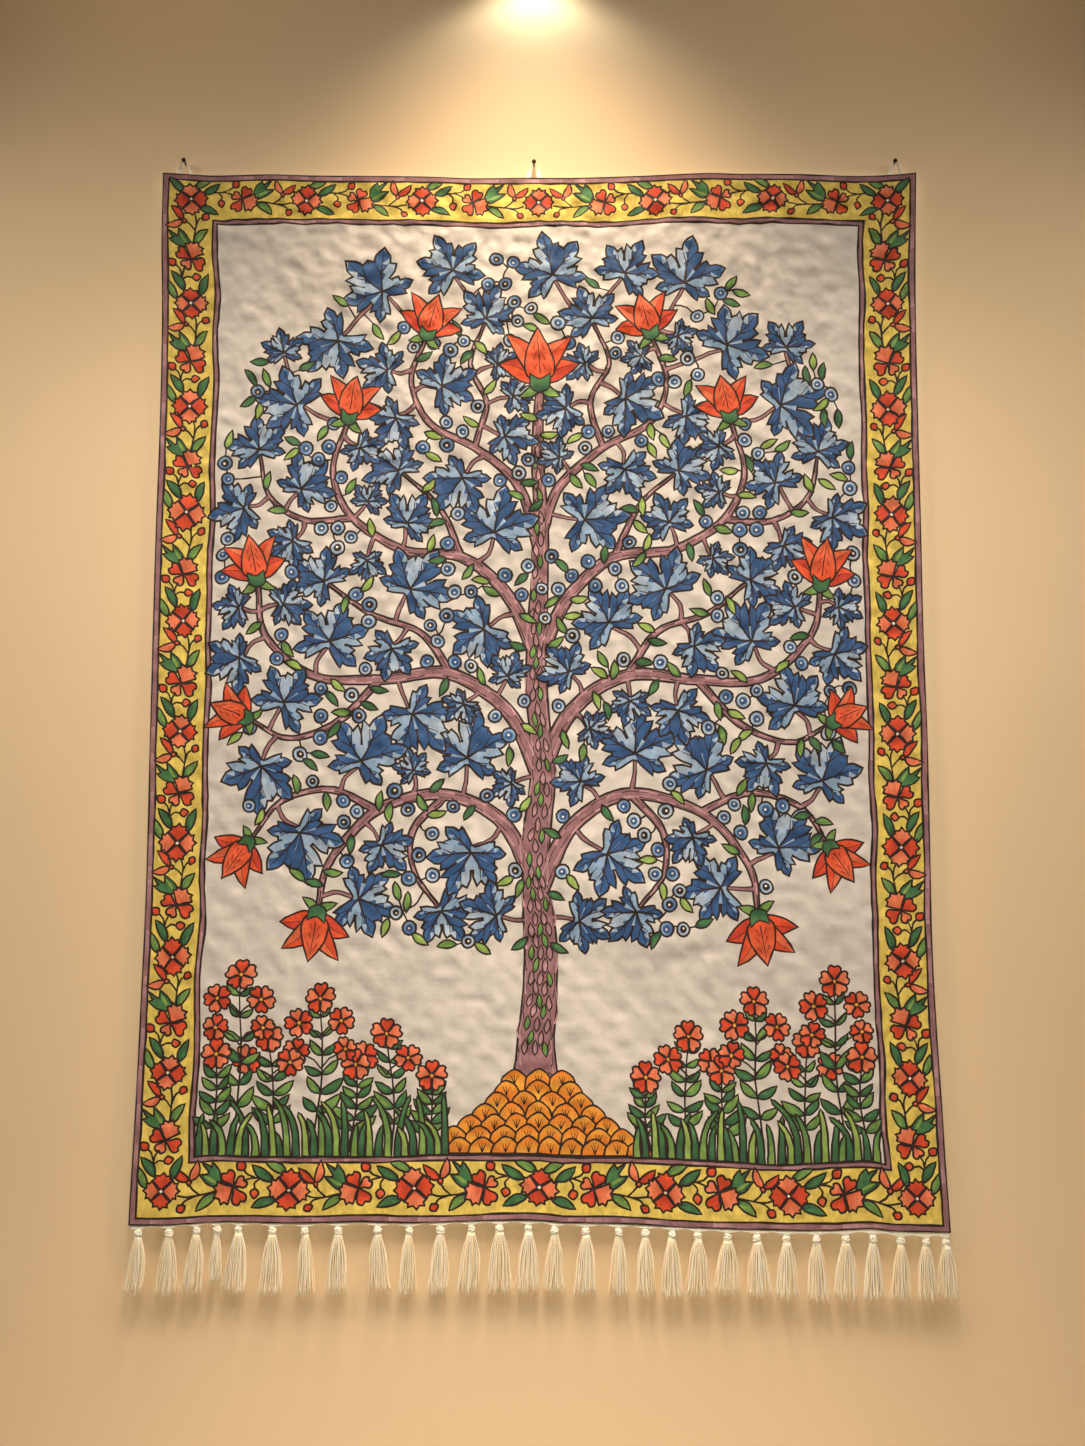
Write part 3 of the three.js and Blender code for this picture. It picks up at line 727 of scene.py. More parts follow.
def tree_blossom(size):
    """A blossom from 0 along x: pointed petals round a closed heart, in a green calyx."""
    shapes = []
    for turn, long, *dyes in ((64, 0.74, *RED), (34, 0.96, "orange red", "salmon")):
        for side in (1, -1):
            leaf = veined_leaf(size * long, size * 0.36, *dyes, -0.10 * side, vein=0.8)
            shapes += moved(leaf, size * 0.14, turn * side)
    heart = both_sides(size * np.array([0.12, 0.3 + 0.24j, 0.68 + 0.21j, 1.06]))
    shapes += inked(heart, "orange red", "salmon", size * 0.2, size, line=2.2)
    for k in range(3):
        for side in (1, -1):
            begin, end = 0.36 + 0.17 * k + side * 0.10j, 0.50 + 0.17 * k + side * 0.035j
            shapes.append(washed(stroke([size * begin, size * end], 2.0, 0.6, 2), "deep red"))
    shapes.append(pen([size * 0.3, size * 0.92], 1.6, 0.7, 4))
    for turn, bend in ((128, 0.12), (-128, -0.12)):
        sepal = washed_leaf(size * 0.42, size * 0.17, *GREEN, bend)
        shapes += moved(sepal, size * 0.16, turn)
    side = size * np.array([-0.03, 0.06 + 0.15j, 0.3 + 0.17j])
    calyx = runs(side, [side[2], size * 0.2, side[2].conjugate()], np.conj(side[::-1]))
    return shapes + inked(calyx, *DEEP_GREEN, 0, size * 0.3, line=2.0)


def berry(radius, number):
    """A blue berry with a dark eye and a white glint."""
    dark = number % 2 == 0
    dyes = ("blue", "sky") if dark else ("sky", "pale blue")
    eye = "ink" if number % 3 == 1 else "navy"
    shapes = inked(round_shape(radius, 12), *dyes, -radius, radius, line=2.4)
    shapes.append(washed(round_shape(radius * 0.55, 9), eye, "blue", -radius, radius))
    return shapes + [washed(round_shape(radius * 0.17, 6, radius * 0.08j), "white")]


def twig(foot, head, bend):
    """A curved twig, with joints along it for smaller motifs."""
    line = [foot, (foot + head) / 2 + 1j * (head - foot) * bend, head]
    joints.extend(complex(p) for p in curve(line, 3)[1:])
    return line


LEAF_SIZES = (56, 52, 48, 44, 40, 36, 32, 28)
# the most of them, the room each needs, furthest from a twig, how far out in the crown, slack in packing
BERRIES = (165, 9.3, 46, 1.03, 14)
SMALL_LEAVES = (230, 7.2, 30, 1.06, 10)
twigs, stalks, leaves, small, blossoms = [], [], [], [], []
number = 0
for end, way, bloom, side in ends:
    turn = math.degrees(np.angle(way))
    if bloom:
        blossoms += moved(tree_blossom(bloom), end - 2 * way / abs(way), turn, side < 0)
        hold(end + way / abs(way) * bloom * 0.5, bloom * 0.42)
    else:
        spot = end + way / abs(way) * 6
        leaves += moved(lobed_leaf(44, number), spot, turn, side < 0)
        hold(spot, 31)
        number += 1
for size in LEAF_SIZES:
    for _, spot, foot in snug_places(18 if size > 30 else 12, size * 0.74, size + 46, 1 - size / 900):
        turn = math.degrees(np.angle(spot - foot)) + chance.uniform(-25, 25)
        heel = spot - polar(turn, 0.13 * size)
        twigs.append(stroke(twig(foot, heel, chance.uniform(-0.18, 0.18)), 4.4, 2.6, 4))
        leaves += moved(lobed_leaf(size, number), spot, turn, number % 2 == 0)
        hold(spot, size * 0.72)
        number += 1
for count, spot, foot in snug_places(*BERRIES):
    if abs(foot - spot) > 14:
        stalks.append(stroke(twig(foot, spot, chance.uniform(-0.22, 0.22)), 2.2, 1.9, 4))
    small += moved(berry(chance.uniform(7.4, 8.8), count), spot, chance.uniform(0, 360))
    hold(spot, 9.6)
PAIRS = (DEEP_GREEN, LIGHT_GREEN, GREEN)
for count, spot, foot in snug_places(*SMALL_LEAVES):
    turn = math.degrees(np.angle(spot - foot)) + chance.uniform(-20, 20)
    heel = spot - polar(turn, 11)
    if abs(foot - heel) > 5:
        stalks.append(stroke([foot, heel], 2.1, 1.8, 1))
    leaf = washed_leaf(23, 9.2, *PAIRS[count % 3], chance.uniform(-0.08, 0.08))
    small += moved(leaf, heel, turn)
    hold(spot, 7.4)

drawing += [washed(outline, "ink") for outline in stalks]
wood = [stroke(points, first, last, 8) for first, last, points in limbs[::-1]]
for branches, by, dye in ((twigs + wood, 1.2, "ink"), (twigs, -0.3, "mauve"), (wood, -1.1, "mauve")):
    drawing += [washed(grown(outline, by), dye) for outline in branches]
# Grain on the trunk and boughs: short darker and lighter strokes that follow them.
for limb in limbs:
    line, way, width = limb_line(*limb)
    for k in range(1, len(line) - 3, 2):
        offs = (-0.42, 0.42) if width[k] > 20 else (-0.24, 0.24) if width[k] > 11 else (0.1,)
        for place, off in enumerate(offs):
            shift = 1j * way[k] / abs(way[k]) * width[k] * (off + chance.uniform(-0.07, 0.07))
            grain = [line[k] + shift, line[k + 1] + shift * 1.12, line[k + 3] + shift * 0.92]
            wide, dye = (2.4, "pale mauve") if (k // 2 + place) % 2 else (1.3, "ink")
            drawing.append(washed(stroke(grain, wide, 0.5, 2), dye))
# Lens-shaped marks in rows up the trunk, some green and some mauve.
BARK_ROW = 13.5
BARK = (GREEN, ("pale mauve", "mauve"), ("pale mauve", "mauve"))
for limb in limbs[: len(TRUNK)]:
    line, way, width = limb_line(*limb, 30)
    along = np.r_[0, np.cumsum(abs(np.diff(line)))]
    row = 0
    for reach in np.arange(8, along[-1] - 60, BARK_ROW):
        k = int(np.searchsorted(along, reach))
        ahead, half = way[k] / abs(way[k]), width[k] / 2 - 4.5
        count = max(1, round((half * 2 + 4) / 11))
        for place in range(count - row % 2 * (count > 1)):
            off = half * ((place + 0.5 * (row % 2) + 0.5) / count * 2 - 1) * 1.1
            tilt = 180 / math.pi * np.angle(ahead) + chance.uniform(-10, 10) - off * 0.5
            foot = line[k] + 1j * ahead * off
            mark = inked(leaf_shape(17, 6.4, points=6), *BARK[(row + 2 * place) % 3], 0, 17, line=1.6)
            drawing += moved(mark, foot - polar(tilt, 8), tilt)
        row += 1
drawing += leaves + small + blossoms

# The mound: overlapping scallops in rows, as hillocks are drawn on such panels.
MOUND_FOOT = FIELD_BOTTOM + 0.5
MOUND_ROWS = 7
SCALLOP_HALF, SCALLOP_HIGH = 15.5, 19
for row in range(MOUND_ROWS - 1, -1, -1):
    y = MOUND_FOOT + row * 12.5
    half = 22 + 92 * (1 - row / MOUND_ROWS) ** 1.5
    count = max(2, int(2 * half / 25))
    for k in range(count + 1):
        x = -half + 2 * half * k / count
        foot, side = x + 1j * y, SCALLOP_HALF
        arch = curve(foot + np.array([-side, 11j - side * 0.8, SCALLOP_HIGH * 1j, 11j + side * 0.8, side]), 3)
        scallop = np.concatenate([arch, [x + side + 1j * MOUND_FOOT, x - side + 1j * MOUND_FOOT]])
        dye = ("orange", "ochre") if (row + k) % 2 else ("ochre", "orange")
        drawing += inked(scallop, *dye, start=foot, end=foot + SCALLOP_HIGH * 1j, line=2.2)
        for lean in (-4, 0, 4):
            drawing.append(pen([foot + 2j, foot + lean + 12j], 1.5, 0.7, 2))

# The meadow: flowering plants that are tallest at the sides, with grass before them.
PLANTS = [
    # x, height, heads, lean
    (128, 84, 1, -0.08), (166, 132, 3, 0.05), (214, 96, 1, -0.05), (254, 172, 5, -0.03), (302, 128, 3, 0.05),
    (346, 196, 5, -0.02), (372, 108, 1, -0.03),
]


def meadow_flower(size, number):
    """Five rounded petals round an ochre eye."""
    shapes = []
    for k in range(5):
        dye = RED if (k + number) % 2 else SALMON
        shapes += moved(petal(HEART, size, *dye), 0, 72 * k + 18)
    return shapes + inked(round_shape(2.8, 8), "ochre", line=1.5)


for x, height, heads, lean in PLANTS:
    for side in (1, -1):
        foot = complex(side * x, FIELD_BOTTOM + 4)
        top = foot + height * (1j + side * lean)
        stem = [foot, (foot + top) / 2 - side * 4, top]
        drawing.append(pen(stem, 2.6, 1.8, 4))
        line = curve(stem, 8)
        for k, p in enumerate(line[4:-1:2]):
            for way, bend in ((40, -0.08), (140, 0.08)):
                pair = DEEP_GREEN if (k + (way > 90)) % 2 else GREEN
                size = (29 - 2 * k) * chance.uniform(0.82, 1.12)
                leaf = washed_leaf(size, 0.38 * size, *pair, bend)
                drawing += moved(leaf, complex(p), way + chance.uniform(-14, 14))
        flowers_at = [top]
        for k in range((heads - 1) // 2):
            for way in (-1, 1):
                end = top - (27 + 32 * k) * 1j + way * (25 + 3 * k)
                fork = complex(top.real, end.imag - 20)
                drawing.append(pen([fork, fork + way * 9 + 10j, end], 2.2, 1.6, 3))
                flowers_at.append(end)
        for k, end in enumerate(flowers_at):
            drawing += moved(meadow_flower(17 - 0.8 * k, k + x), complex(end), 20 * k)

BLADES = (DEEP_GREEN, LIGHT_GREEN, DEEP_GREEN, ("leaf green", "green"))
x = 1.0 - FIELD_HALF
blades = []
while x < FIELD_HALF:
    if abs(x) > 104:
        tall = chance.uniform(34, 66) * (0.72 if len(blades) % 3 == 1 else 1)
        lean = chance.uniform(-0.4, 0.4) * tall
        foot = complex(x, FIELD_BOTTOM - 0.6)
        tip = foot + 1j * tall + lean
        middle = [foot + 0.45j * tall + lean * 0.06, foot + 0.8j * tall + lean * 0.45]
        blade = stroke([foot, *middle, tip], 8.6, 4.4, 3, tip=4.5)
        blades.append(inked(blade, *BLADES[len(blades) % 4], start=foot, end=tip, line=2.2))
    x += chance.uniform(7.5, 11.5)
for k in chance.permutation(len(blades)):
    drawing += blades[k]

# ---- the cloth's mesh: its face is cut along every drawn line, so each triangle has one dye


def wander(p):
    """The small drift of a hand that draws without a ruler."""
    x, y = p.real, p.imag
    off = 0.75 * (ripples(x, y, 21, 6, 60, 150) + 1j * ripples(x, y, 22, 6, 60, 150))
    off += 0.22 * (ripples(x, y, 23, 8, 9, 22) + 1j * ripples(x, y, 24, 8, 9, 22))
    to_hem = np.minimum.reduce([CLOTH_WIDTH / 2 - abs(x), y, CLOTH_LENGTH - y])
    return p + off * (0.25 + 0.75 * np.clip((to_hem - 0.6) / 30, 0, 1))


outlines = [anticlockwise(wander(shape[0])) for shape in drawing]


def cut_flat(points, edges):
    """Cuts the flat cloth into triangles along the edges: its corners and the triangles between them."""
    cut = delaunay_2d_cdt([Vector((p.real, p.imag)) for p in points], edges, [], 0, 0.02, False)
    return np.array([complex(v.x, v.y) for v in cut[0]]), np.array(cut[2])


def inside(spots, outline):
    """Which spots an outline winds round, even where it crosses itself."""
    x, y = spots.real[:, None], spots.imag[:, None]
    a, b = outline[None, :], np.roll(outline, -1)[None, :]
    turn = (b.real - a.real) * (y - a.imag) - (x - a.real) * (b.imag - a.imag)
    up, down = (a.imag <= y) & (b.imag > y) & (turn > 0), (b.imag <= y) & (a.imag > y) & (turn < 0)
    return up.sum(axis=1) > down.sum(axis=1)


# First every outline is cut, hidden or not, and each triangle takes the dye painted last over it.
hems = [complex(x, y) for x in (-CLOTH_WIDTH / 2, CLOTH_WIDTH / 2) for y in (0, CLOTH_LENGTH)]
edges, start = [], len(hems)
for outline in outlines:
    ring = np.arange(start, start + len(outline))
    edges += list(zip(ring.tolist(), np.roll(ring, -1).tolist()))
    start += len(outline)
flat, triangles = cut_flat(np.concatenate([hems, *outlines]), edges)
middles = flat[triangles].mean(axis=1)
order = np.argsort(middles.real)
sorted_x = middles.real[order]
painted = np.full(len(middles), -1)
for k, outline in enumerate(outlines):
    lo, hi = np.searchsorted(sorted_x, [outline.real.min(), outline.real.max()])
    found = order[lo:hi]
    found = found[(middles.imag[found] > outline.imag.min()) & (middles.imag[found] < outline.imag.max())]
    for part in range(0, len(found), 4000):
        some = found[part : part + 4000]
        painted[some[inside(middles[some], outline)]] = -1 if drawing[k][1] == "ink" else k

# Only lines where one dye meets another are kept, without points that a straight line all but passes through.
pairs = np.sort(triangles[:, [[0, 1], [1, 2], [2, 0]]].reshape(-1, 2), axis=1)
sides = np.repeat(painted, 3)
order = np.lexsort((pairs[:, 1], pairs[:, 0]))
pairs, sides = pairs[order], sides[order]
meets = (pairs[1:] == pairs[:-1]).all(axis=1) & (sides[1:] != sides[:-1])
beside = {}
for a, b in pairs[:-1][meets].tolist():
    beside.setdefault(a, set()).add(b)
    beside.setdefault(b, set()).add(a)
SPARE = 0.25  # how far a dropped point may lie from the line, in millimetres
LONGEST_EDGE = 14
for _ in range(4):
    for p in list(beside):
        near = beside.get(p)
        if near is None or len(near) != 2:
            continue
        a, b = near
        step = flat[b] - flat[a]
        off = abs(((flat[p] - flat[a]) * step.conjugate()).imag) / max(abs(step), 1e-9)
        free = b not in beside[a] and len(beside[a]) > 1 and len(beside[b]) > 1
        if free and off < SPARE and abs(step) < LONGEST_EDGE:
            del beside[p]
            beside[a].remove(p)
            beside[b].remove(p)
            beside[a].add(b)
            beside[b].add(a)
kept = {p: i for i, p in enumerate(beside)}
drawn = flat[list(kept)]
GRID = 10.0
CROWDED = 4  # no point of the grid is kept within about this of a drawn line
columns, rows = round(CLOTH_WIDTH / GRID), round(CLOTH_LENGTH / GRID)
across_at = np.linspace(-CLOTH_WIDTH / 2, CLOTH_WIDTH / 2, columns + 1)
up_at = np.linspace(0, CLOTH_LENGTH, rows + 1)
lattice = (across_at[None, :] + 1j * up_at[:, None]).ravel()
crowded = {(int(p.real // CROWDED + i), int(p.imag // CROWDED + i)) for p in drawn for i in (0, 0.5)}
open_ground = [
    p for p in lattice
    if min(CLOTH_WIDTH / 2 - abs(p.real), p.imag, CLOTH_LENGTH - p.imag) < 1e-6
    or (int(p.real // CROWDED), int(p.imag // CROWDED)) not in crowded
]
edges = [(kept[a], kept[b]) for a, near in beside.items() for b in near if a < b]
old_flat, old_triangles = flat, triangles
flat, triangles = cut_flat(np.concatenate([drawn, open_ground]), edges)
before_cut = BVHTree.FromPolygons([(p.real, p.imag, 0) for p in old_flat], old_triangles.tolist())
middles = flat[triangles].mean(axis=1)
owner = painted[[before_cut.find_nearest((p.real, p.imag, 0))[2] for p in middles]]

# The shape that owns each triangle gives it its wash, and one last shape stands for everything inked.
washes = drawing + [washed([], "ink")]
near_dye, far_dye = (np.array([linear(DYES[wash[k]]) for wash in washes])[owner][:, None, :] for k in (1, 2))
wash_from = np.array([wash[3] for wash in washes])
wash_way = (np.array([wash[4] for wash in washes]) - wash_from)[owner][:, None]
share = ((flat[triangles] - wash_from[owner][:, None]) * wash_way.conj()).real / abs(wash_way) ** 2
share = np.clip(share, 0, 1)[..., None]
corner_dye = near_dye * (1 - share) + far_dye * share
bare = np.array([wash[1] == "cotton" for wash in washes])[owner]

front_across, front_down = flat.real + CLOTH_WIDTH / 2, CLOTH_LENGTH - flat.imag
front = hung(front_across, front_down, -CLOTH_THICKNESS / 2)
back_across = np.tile(across_at + CLOTH_WIDTH / 2, rows + 1)
back_down = np.repeat(CLOTH_LENGTH - up_at, columns + 1)
# The back is cut every 10 mm only, so inside the hems it lies further back, clear of the dimples.
BACK_CLEARANCE = 0.8
to_hem = np.minimum.reduce([back_across, CLOTH_WIDTH - back_across, back_down, CLOTH_LENGTH - back_down])
back = hung(back_across, back_down, CLOTH_THICKNESS / 2 + BACK_CLEARANCE * np.clip((to_hem - 5) / 5, 0, 1))

grid = np.arange((rows + 1) * (columns + 1)).reshape(rows + 1, columns + 1)
low_left, low_right, high_left, high_right = grid[:-1, :-1], grid[:-1, 1:], grid[1:, :-1], grid[1:, 1:]
back_faces = np.stack([low_left, high_left, high_right, low_right], axis=-1).reshape(-1, 4) + len(front)
rim = np.concatenate([grid[0, :], grid[1:, -1], grid[-1, -2::-1], grid[-2:0:-1, 0]])
spots = {p: i for i, p in enumerate(np.round(flat, 2).tolist())}
rim_front, rim_back = np.array([spots[p] for p in np.round(lattice[rim], 2).tolist()]), rim + len(front)
rim_faces = np.stack([rim_front, rim_back, np.roll(rim_back, -1), np.roll(rim_front, -1)], axis=-1)

mesh = bpy.data.meshes.new("painted_cloth")
faces = triangles.tolist() + back_faces.tolist() + rim_faces.tolist()
mesh.from_pydata(np.concatenate([front, back]).tolist(), [], faces)
mesh.update()
panel = bpy.data.objects.new("painted_cloth", mesh)
bpy.context.scene.collection.objects.link(panel)

loops_front = len(triangles) * 3
dye = np.tile(np.array(linear(DYES["cotton"])), (len(mesh.loops), 1))
dye[:loops_front] = corner_dye.reshape(-1, 4)
layer = mesh.color_attributes.new("dye", "FLOAT_COLOR", "CORNER")
layer.data.foreach_set("color", dye.ravel())
wet = np.zeros(len(mesh.loops))
wet[:loops_front] = np.repeat(~bare, 3)
layer = mesh.attributes.new("dyed", "FLOAT", "CORNER")
layer.data.foreach_set("value", wet)

# The face takes four fifths of the map across, the back a narrow strip and the rim a sliver.
MAP_EDGE = 0.002
FACE_SHARE = 0.80
BACK_FROM, BACK_SHARE = 0.815, 0.15
RIM_FROM, RIM_SHARE = 0.975, 0.02
all_across = np.concatenate([front_across, back_across])
all_up = np.concatenate([CLOTH_LENGTH - front_down, CLOTH_LENGTH - back_down])
vertex = np.zeros(len(mesh.loops), int)
mesh.loops.foreach_get("vertex_index", vertex)
u = all_across[vertex] / CLOTH_WIDTH * FACE_SHARE + MAP_EDGE
v = all_up[vertex] / CLOTH_LENGTH * (1 - 2 * MAP_EDGE) + MAP_EDGE
is_back = np.arange(len(mesh.loops)) >= loops_front
u[is_back] = BACK_FROM + all_across[vertex][is_back] / CLOTH_WIDTH * BACK_SHARE
rim_start = loops_front + 4 * len(back_faces)
along = np.repeat(np.arange(len(rim_faces)) / len(rim_faces), 4)
step = np.tile([0, 0, 1, 1], len(rim_faces)) / len(rim_faces)
u[rim_start:] = RIM_FROM + np.tile([0, RIM_SHARE, RIM_SHARE, 0], len(rim_faces))
v[rim_start:] = MAP_EDGE + (1 - 2 * MAP_EDGE) * (along + step)
uv = mesh.uv_layers.new(name="OFBake")
uv.uv.foreach_set("vector", np.stack([u, v], axis=-1).ravel())


def cloth_normals(across, down, way):
    """The hanging shape's own normals, which face the room where the way is -1 and the wall where it is 1."""
    tick = 0.5
    down_step = hung(across, down + tick) - hung(across, down - tick)
    side_step = hung(across + tick, down) - hung(across - tick, down)
    normals = np.cross(side_step, -down_step)
    normals /= np.linalg.norm(normals, axis=1)[:, None]
    return normals * np.where(normals[:, 1] * way < 0, -1, 1)[:, None]


# The drawn lines leave no mark in the shading, because no normal comes from the triangles.
facing, backing = cloth_normals(front_across, front_down, -1), cloth_normals(back_across, back_down, 1)
mesh.shade_smooth()
normals = np.concatenate([facing, backing])[vertex]
normals[rim_start:] = 0
mesh.normals_split_custom_set(normals.tolist())

# Dyed cotton, hand painted: the dye sinks in unevenly, pools along brush marks and leaves the cloth matt.
cotton = finish_named("hand-painted plain-woven cotton")
place = node(cotton, "TexCoord", {}).outputs["Object"]
dye_here = node(cotton, "Attribute", {}, attribute_name="dye")
dyed_here = node(cotton, "Attribute", {}, attribute_name="dyed")
NOISE = {"From Min": 0.3, "From Max": 0.7}  # the range that most of a noise lies in
# Washes vary over 15 mm or so, and brush marks over 3 mm.
pools = node(cotton, "TexNoise", {"Vector": place, "Scale": 70.0, "Detail": 2.0, "Roughness": 0.6})
lean = node(cotton, "Mapping", {"Vector": place, "Rotation": (0, 0.6, 0), "Scale": (1.0, 1.0, 0.35)})
marks = node(cotton, "TexNoise", {"Vector": lean, "Scale": 330.0, "Detail": 2.0, "Roughness": 0.55})
pool_level = node(cotton, "MapRange", {"Value": pools, **NOISE, "To Min": 0.80, "To Max": 1.16})
mark_level = node(cotton, "MapRange", {"Value": marks, **NOISE, "To Min": 0.88, "To Max": 1.10})
uneven = node(cotton, "Math", {0: pool_level, 1: mark_level}, operation="MULTIPLY")
# Bare cotton only yellows and greys a little, in clouds about 40 mm wide.
ageing = node(cotton, "TexNoise", {"Vector": place, "Scale": 24.0, "Detail": 3.0})
age_level = node(cotton, "MapRange", {"Value": ageing, **NOISE, "To Min": 0.87, "To Max": 1.04})
level = node(cotton, "Mix", {"Factor": dyed_here.outputs["Fac"], 2: age_level, 3: uneven}, data_type="FLOAT")
toned = node(cotton, "VectorMath", {0: dye_here.outputs["Color"], "Scale": level}, operation="SCALE")
# Threads 0.5 mm apart are too fine to show, so the weave is drawn coarser.
DRAWN_THREAD = 0.0014
threads = {"Vector": place, "Scale": math.tau / 20 / DRAWN_THREAD, "Distortion": 0.6, "Detail": 1.0}
warp = node(cotton, "TexWave", threads, bands_direction="X")
weft = node(cotton, "TexWave", threads, bands_direction="Z")
weave = node(cotton, "Math", {0: warp.outputs["Fac"], 1: weft.outputs["Fac"]}, operation="MULTIPLY")
# The pebbling is deepest near the top and half as deep at the bottom.
height = node(cotton, "SeparateXYZ", {0: place})
depth = node(cotton, "MapRange", {
    "Value": height.outputs[2], "From Min": -0.85, "From Max": -0.15, "To Min": 0.34, "To Max": 1.0,
})
crinkle = node(cotton, "TexNoise", {"Vector": place, "Scale": 120.0, "Detail": 2.0, "Roughness": 0.5})
pebble = node(cotton, "TexNoise", {"Vector": place, "Scale": 46.0, "Detail": 1.0})
pebbled = node(cotton, "Math", {0: pebble, 1: depth}, operation="MULTIPLY")
rough_cloth = node(cotton, "Bump", {"Height": pebbled, "Strength": 0.9, "Distance": 0.0050})
creased = node(cotton, "Bump", {
    "Height": crinkle, "Strength": 0.5, "Distance": 0.0008, "Normal": rough_cloth,
})
woven = node(cotton, "Bump", {"Height": weave, "Strength": 0.25, "Distance": 0.0003, "Normal": creased})
surface = node(cotton, "BsdfPrincipled", {
    "Base Color": toned, "Roughness": 0.72, "Specular IOR Level": 0.35,
    "Sheen Weight": 0.12, "Sheen Roughness": 0.5, "Normal": woven,
})
node(cotton, "OutputMaterial", {"Surface": surface})
mesh.materials.append(cotton)

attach(panel, "root")
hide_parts("panel_cloth")

# ------------------------------------------------------------------ fringe heading
# A narrow cream cotton tape sewn behind the bottom hem, and the yarns that run along its lower edge.
# The yarns gather above each tassel and climb back to the hem between two, so the edge hangs in scallops.
# It is plied cotton, undyed, and is sewn to the hem through the tape.

SEAM_GAP = 0.3
HEADING_THICKNESS = 1.0
HEADING_BEHIND_HEM = 9
CORD_RADIUS = 0.65
GATHERED_RADIUS = 0.52
TASSELS = [
    # at, lean, spread, reach
    (11, -5, 22, 73), (45, -3, 24, 74), (75.6, -3, 22, 75), (98, -2, 13, 66), (122, -4.5, 25, 76),
    (159.5, -2, 25, 76), (196.5, 1, 21, 78), (233, -2, 24, 77), (277, 3, 24, 76), (311.5, -2, 20, 77),
    (346.5, -3, 23, 77), (381, -3.5, 25, 77), (412.5, -0.5, 28, 78), (445, -1.5, 25, 78), (474, -2.5, 22, 76),
    (509, -1.5, 25, 77), (545, 0, 21, 77), (575, 1, 21, 76), (604, 0, 23, 76), (633.5, -1, 25, 72),
    (666, -2.5, 28, 71), (699.5, 1, 26, 72), (732, -0.5, 25, 73), (765.5, 0.5, 23, 76), (797.5, -1.5, 25, 75),
    (827.5, -0.5, 22, 76), (858, -1.5, 21, 74), (886, 1, 21, 73), (909, 2, 24, 73),
]
HEADING_SHOWS = [
    # at, below the hem at a tassel, below it midway between two
    (0, 3.4, 0.6), (450, 4, 1), (700, 4.4, 1.6), (914, 6.4, 3),
]
TASSEL_PLACES = np.array([row[0] for row in TASSELS])


def heading_shows(at):
    """How far the heading hangs below the hem: deep at each tassel and shallow between two."""
    deep, shallow = read_table(HEADING_SHOWS, at, 1), read_table(HEADING_SHOWS, at, 2)
    k = np.clip(np.searchsorted(TASSEL_PLACES, at), 1, len(TASSEL_PLACES) - 1)
    share = (at - TASSEL_PLACES[k - 1]) / (TASSEL_PLACES[k] - TASSEL_PLACES[k - 1])
    between = shallow + (deep - shallow) * abs(2 * share - 1) ** 1.5
    return np.where((at < TASSEL_PLACES[0]) | (at > TASSEL_PLACES[-1]), deep, between)


def forward(below):
    """Yarns come out from behind the hem and lie flush with the cloth's face below it."""
    return -1.3 * np.clip((np.asarray(below) - 0.9) / 0.7, 0, 1)


def behind_hem(at, below, back):
    """Points `below` the bottom hem and `back` from the cloth's own back, in metres."""
    at, below = np.broadcast_arrays(np.asarray(at, float), np.asarray(below, float))
    spot = hung(at, np.full(at.shape, float(CLOTH_LENGTH)), CLOTH_THICKNESS / 2 + SEAM_GAP)
    spot[..., 1] += np.asarray(back) / 1000
    spot[..., 2] -= below / 1000
    return spot


def skin(rings, places_round, places_along):
    """Closes a row of rings: the corners, the faces and each corner's place round and along the piece."""
    index = np.arange(rings.shape[0] * rings.shape[1]).reshape(rings.shape[:2])
    onwards = np.roll(index, -1, 1)
    faces = np.stack([index[:-1], onwards[:-1], onwards[1:], index[1:]], -1).reshape(-1, 4).tolist()
    faces += [index[0][::-1].tolist(), index[-1].tolist()]
    places = np.stack(np.broadcast_arrays(places_round, places_along[:, None]), -1)
    return rings.reshape(-1, 3), faces, places.reshape(-1, 2)


def tube(path, radius, sides=5, turns=0.0):
    """A round yarn along a path."""
    path = np.asarray(path, float)
    way = np.gradient(path, axis=0)
    way /= np.linalg.norm(way, axis=1)[:, None]
    side = np.cross(way, [0.0, 1.0, 0.02])
    side /= np.linalg.norm(side, axis=1)[:, None]
    other = np.cross(way, side)
    count = len(path)
    angle = np.linspace(0, math.tau, sides, endpoint=False)[None, :] + np.linspace(0, turns, count)[:, None]
    thick = np.broadcast_to(np.asarray(radius, float), count)[:, None, None]
    off = np.cos(angle)[..., None] * side[:, None, :] + np.sin(angle)[..., None] * other[:, None, :]
    long = np.r_[0, np.cumsum(np.linalg.norm(np.diff(path, axis=0), axis=1))]
    return skin(path[:, None, :] + thick * off, np.arange(sides) / sides, long)


def yarn_piece(name, parts, material):
    """Joins tubes and other parts into one mesh. Each part is its corners, faces, places and tone."""
    corners, faces, places, tones, count = [], [], [], [], 0
    for part_corners, part_faces, part_places, tone in parts:
        corners.append(part_corners)
        faces += [[i + count for i in face] for face in part_faces]
        places.append(part_places)
        tones.append(np.full(len(part_corners), tone))
        count += len(part_corners)
    mesh = bpy.data.meshes.new(name)
    mesh.from_pydata(np.concatenate(corners).tolist(), [], faces)
    mesh.shade_smooth()
    layer = mesh.attributes.new("tone", "FLOAT", "POINT")
    layer.data.foreach_set("value", np.concatenate(tones))
    layer = mesh.attributes.new("round_and_along", "FLOAT2", "POINT")
    layer.data.foreach_set("vector", np.concatenate(places).ravel())
    mesh.materials.append(material)
    made = bpy.data.objects.new(name, mesh)
    bpy.context.scene.collection.objects.link(made)
    return made


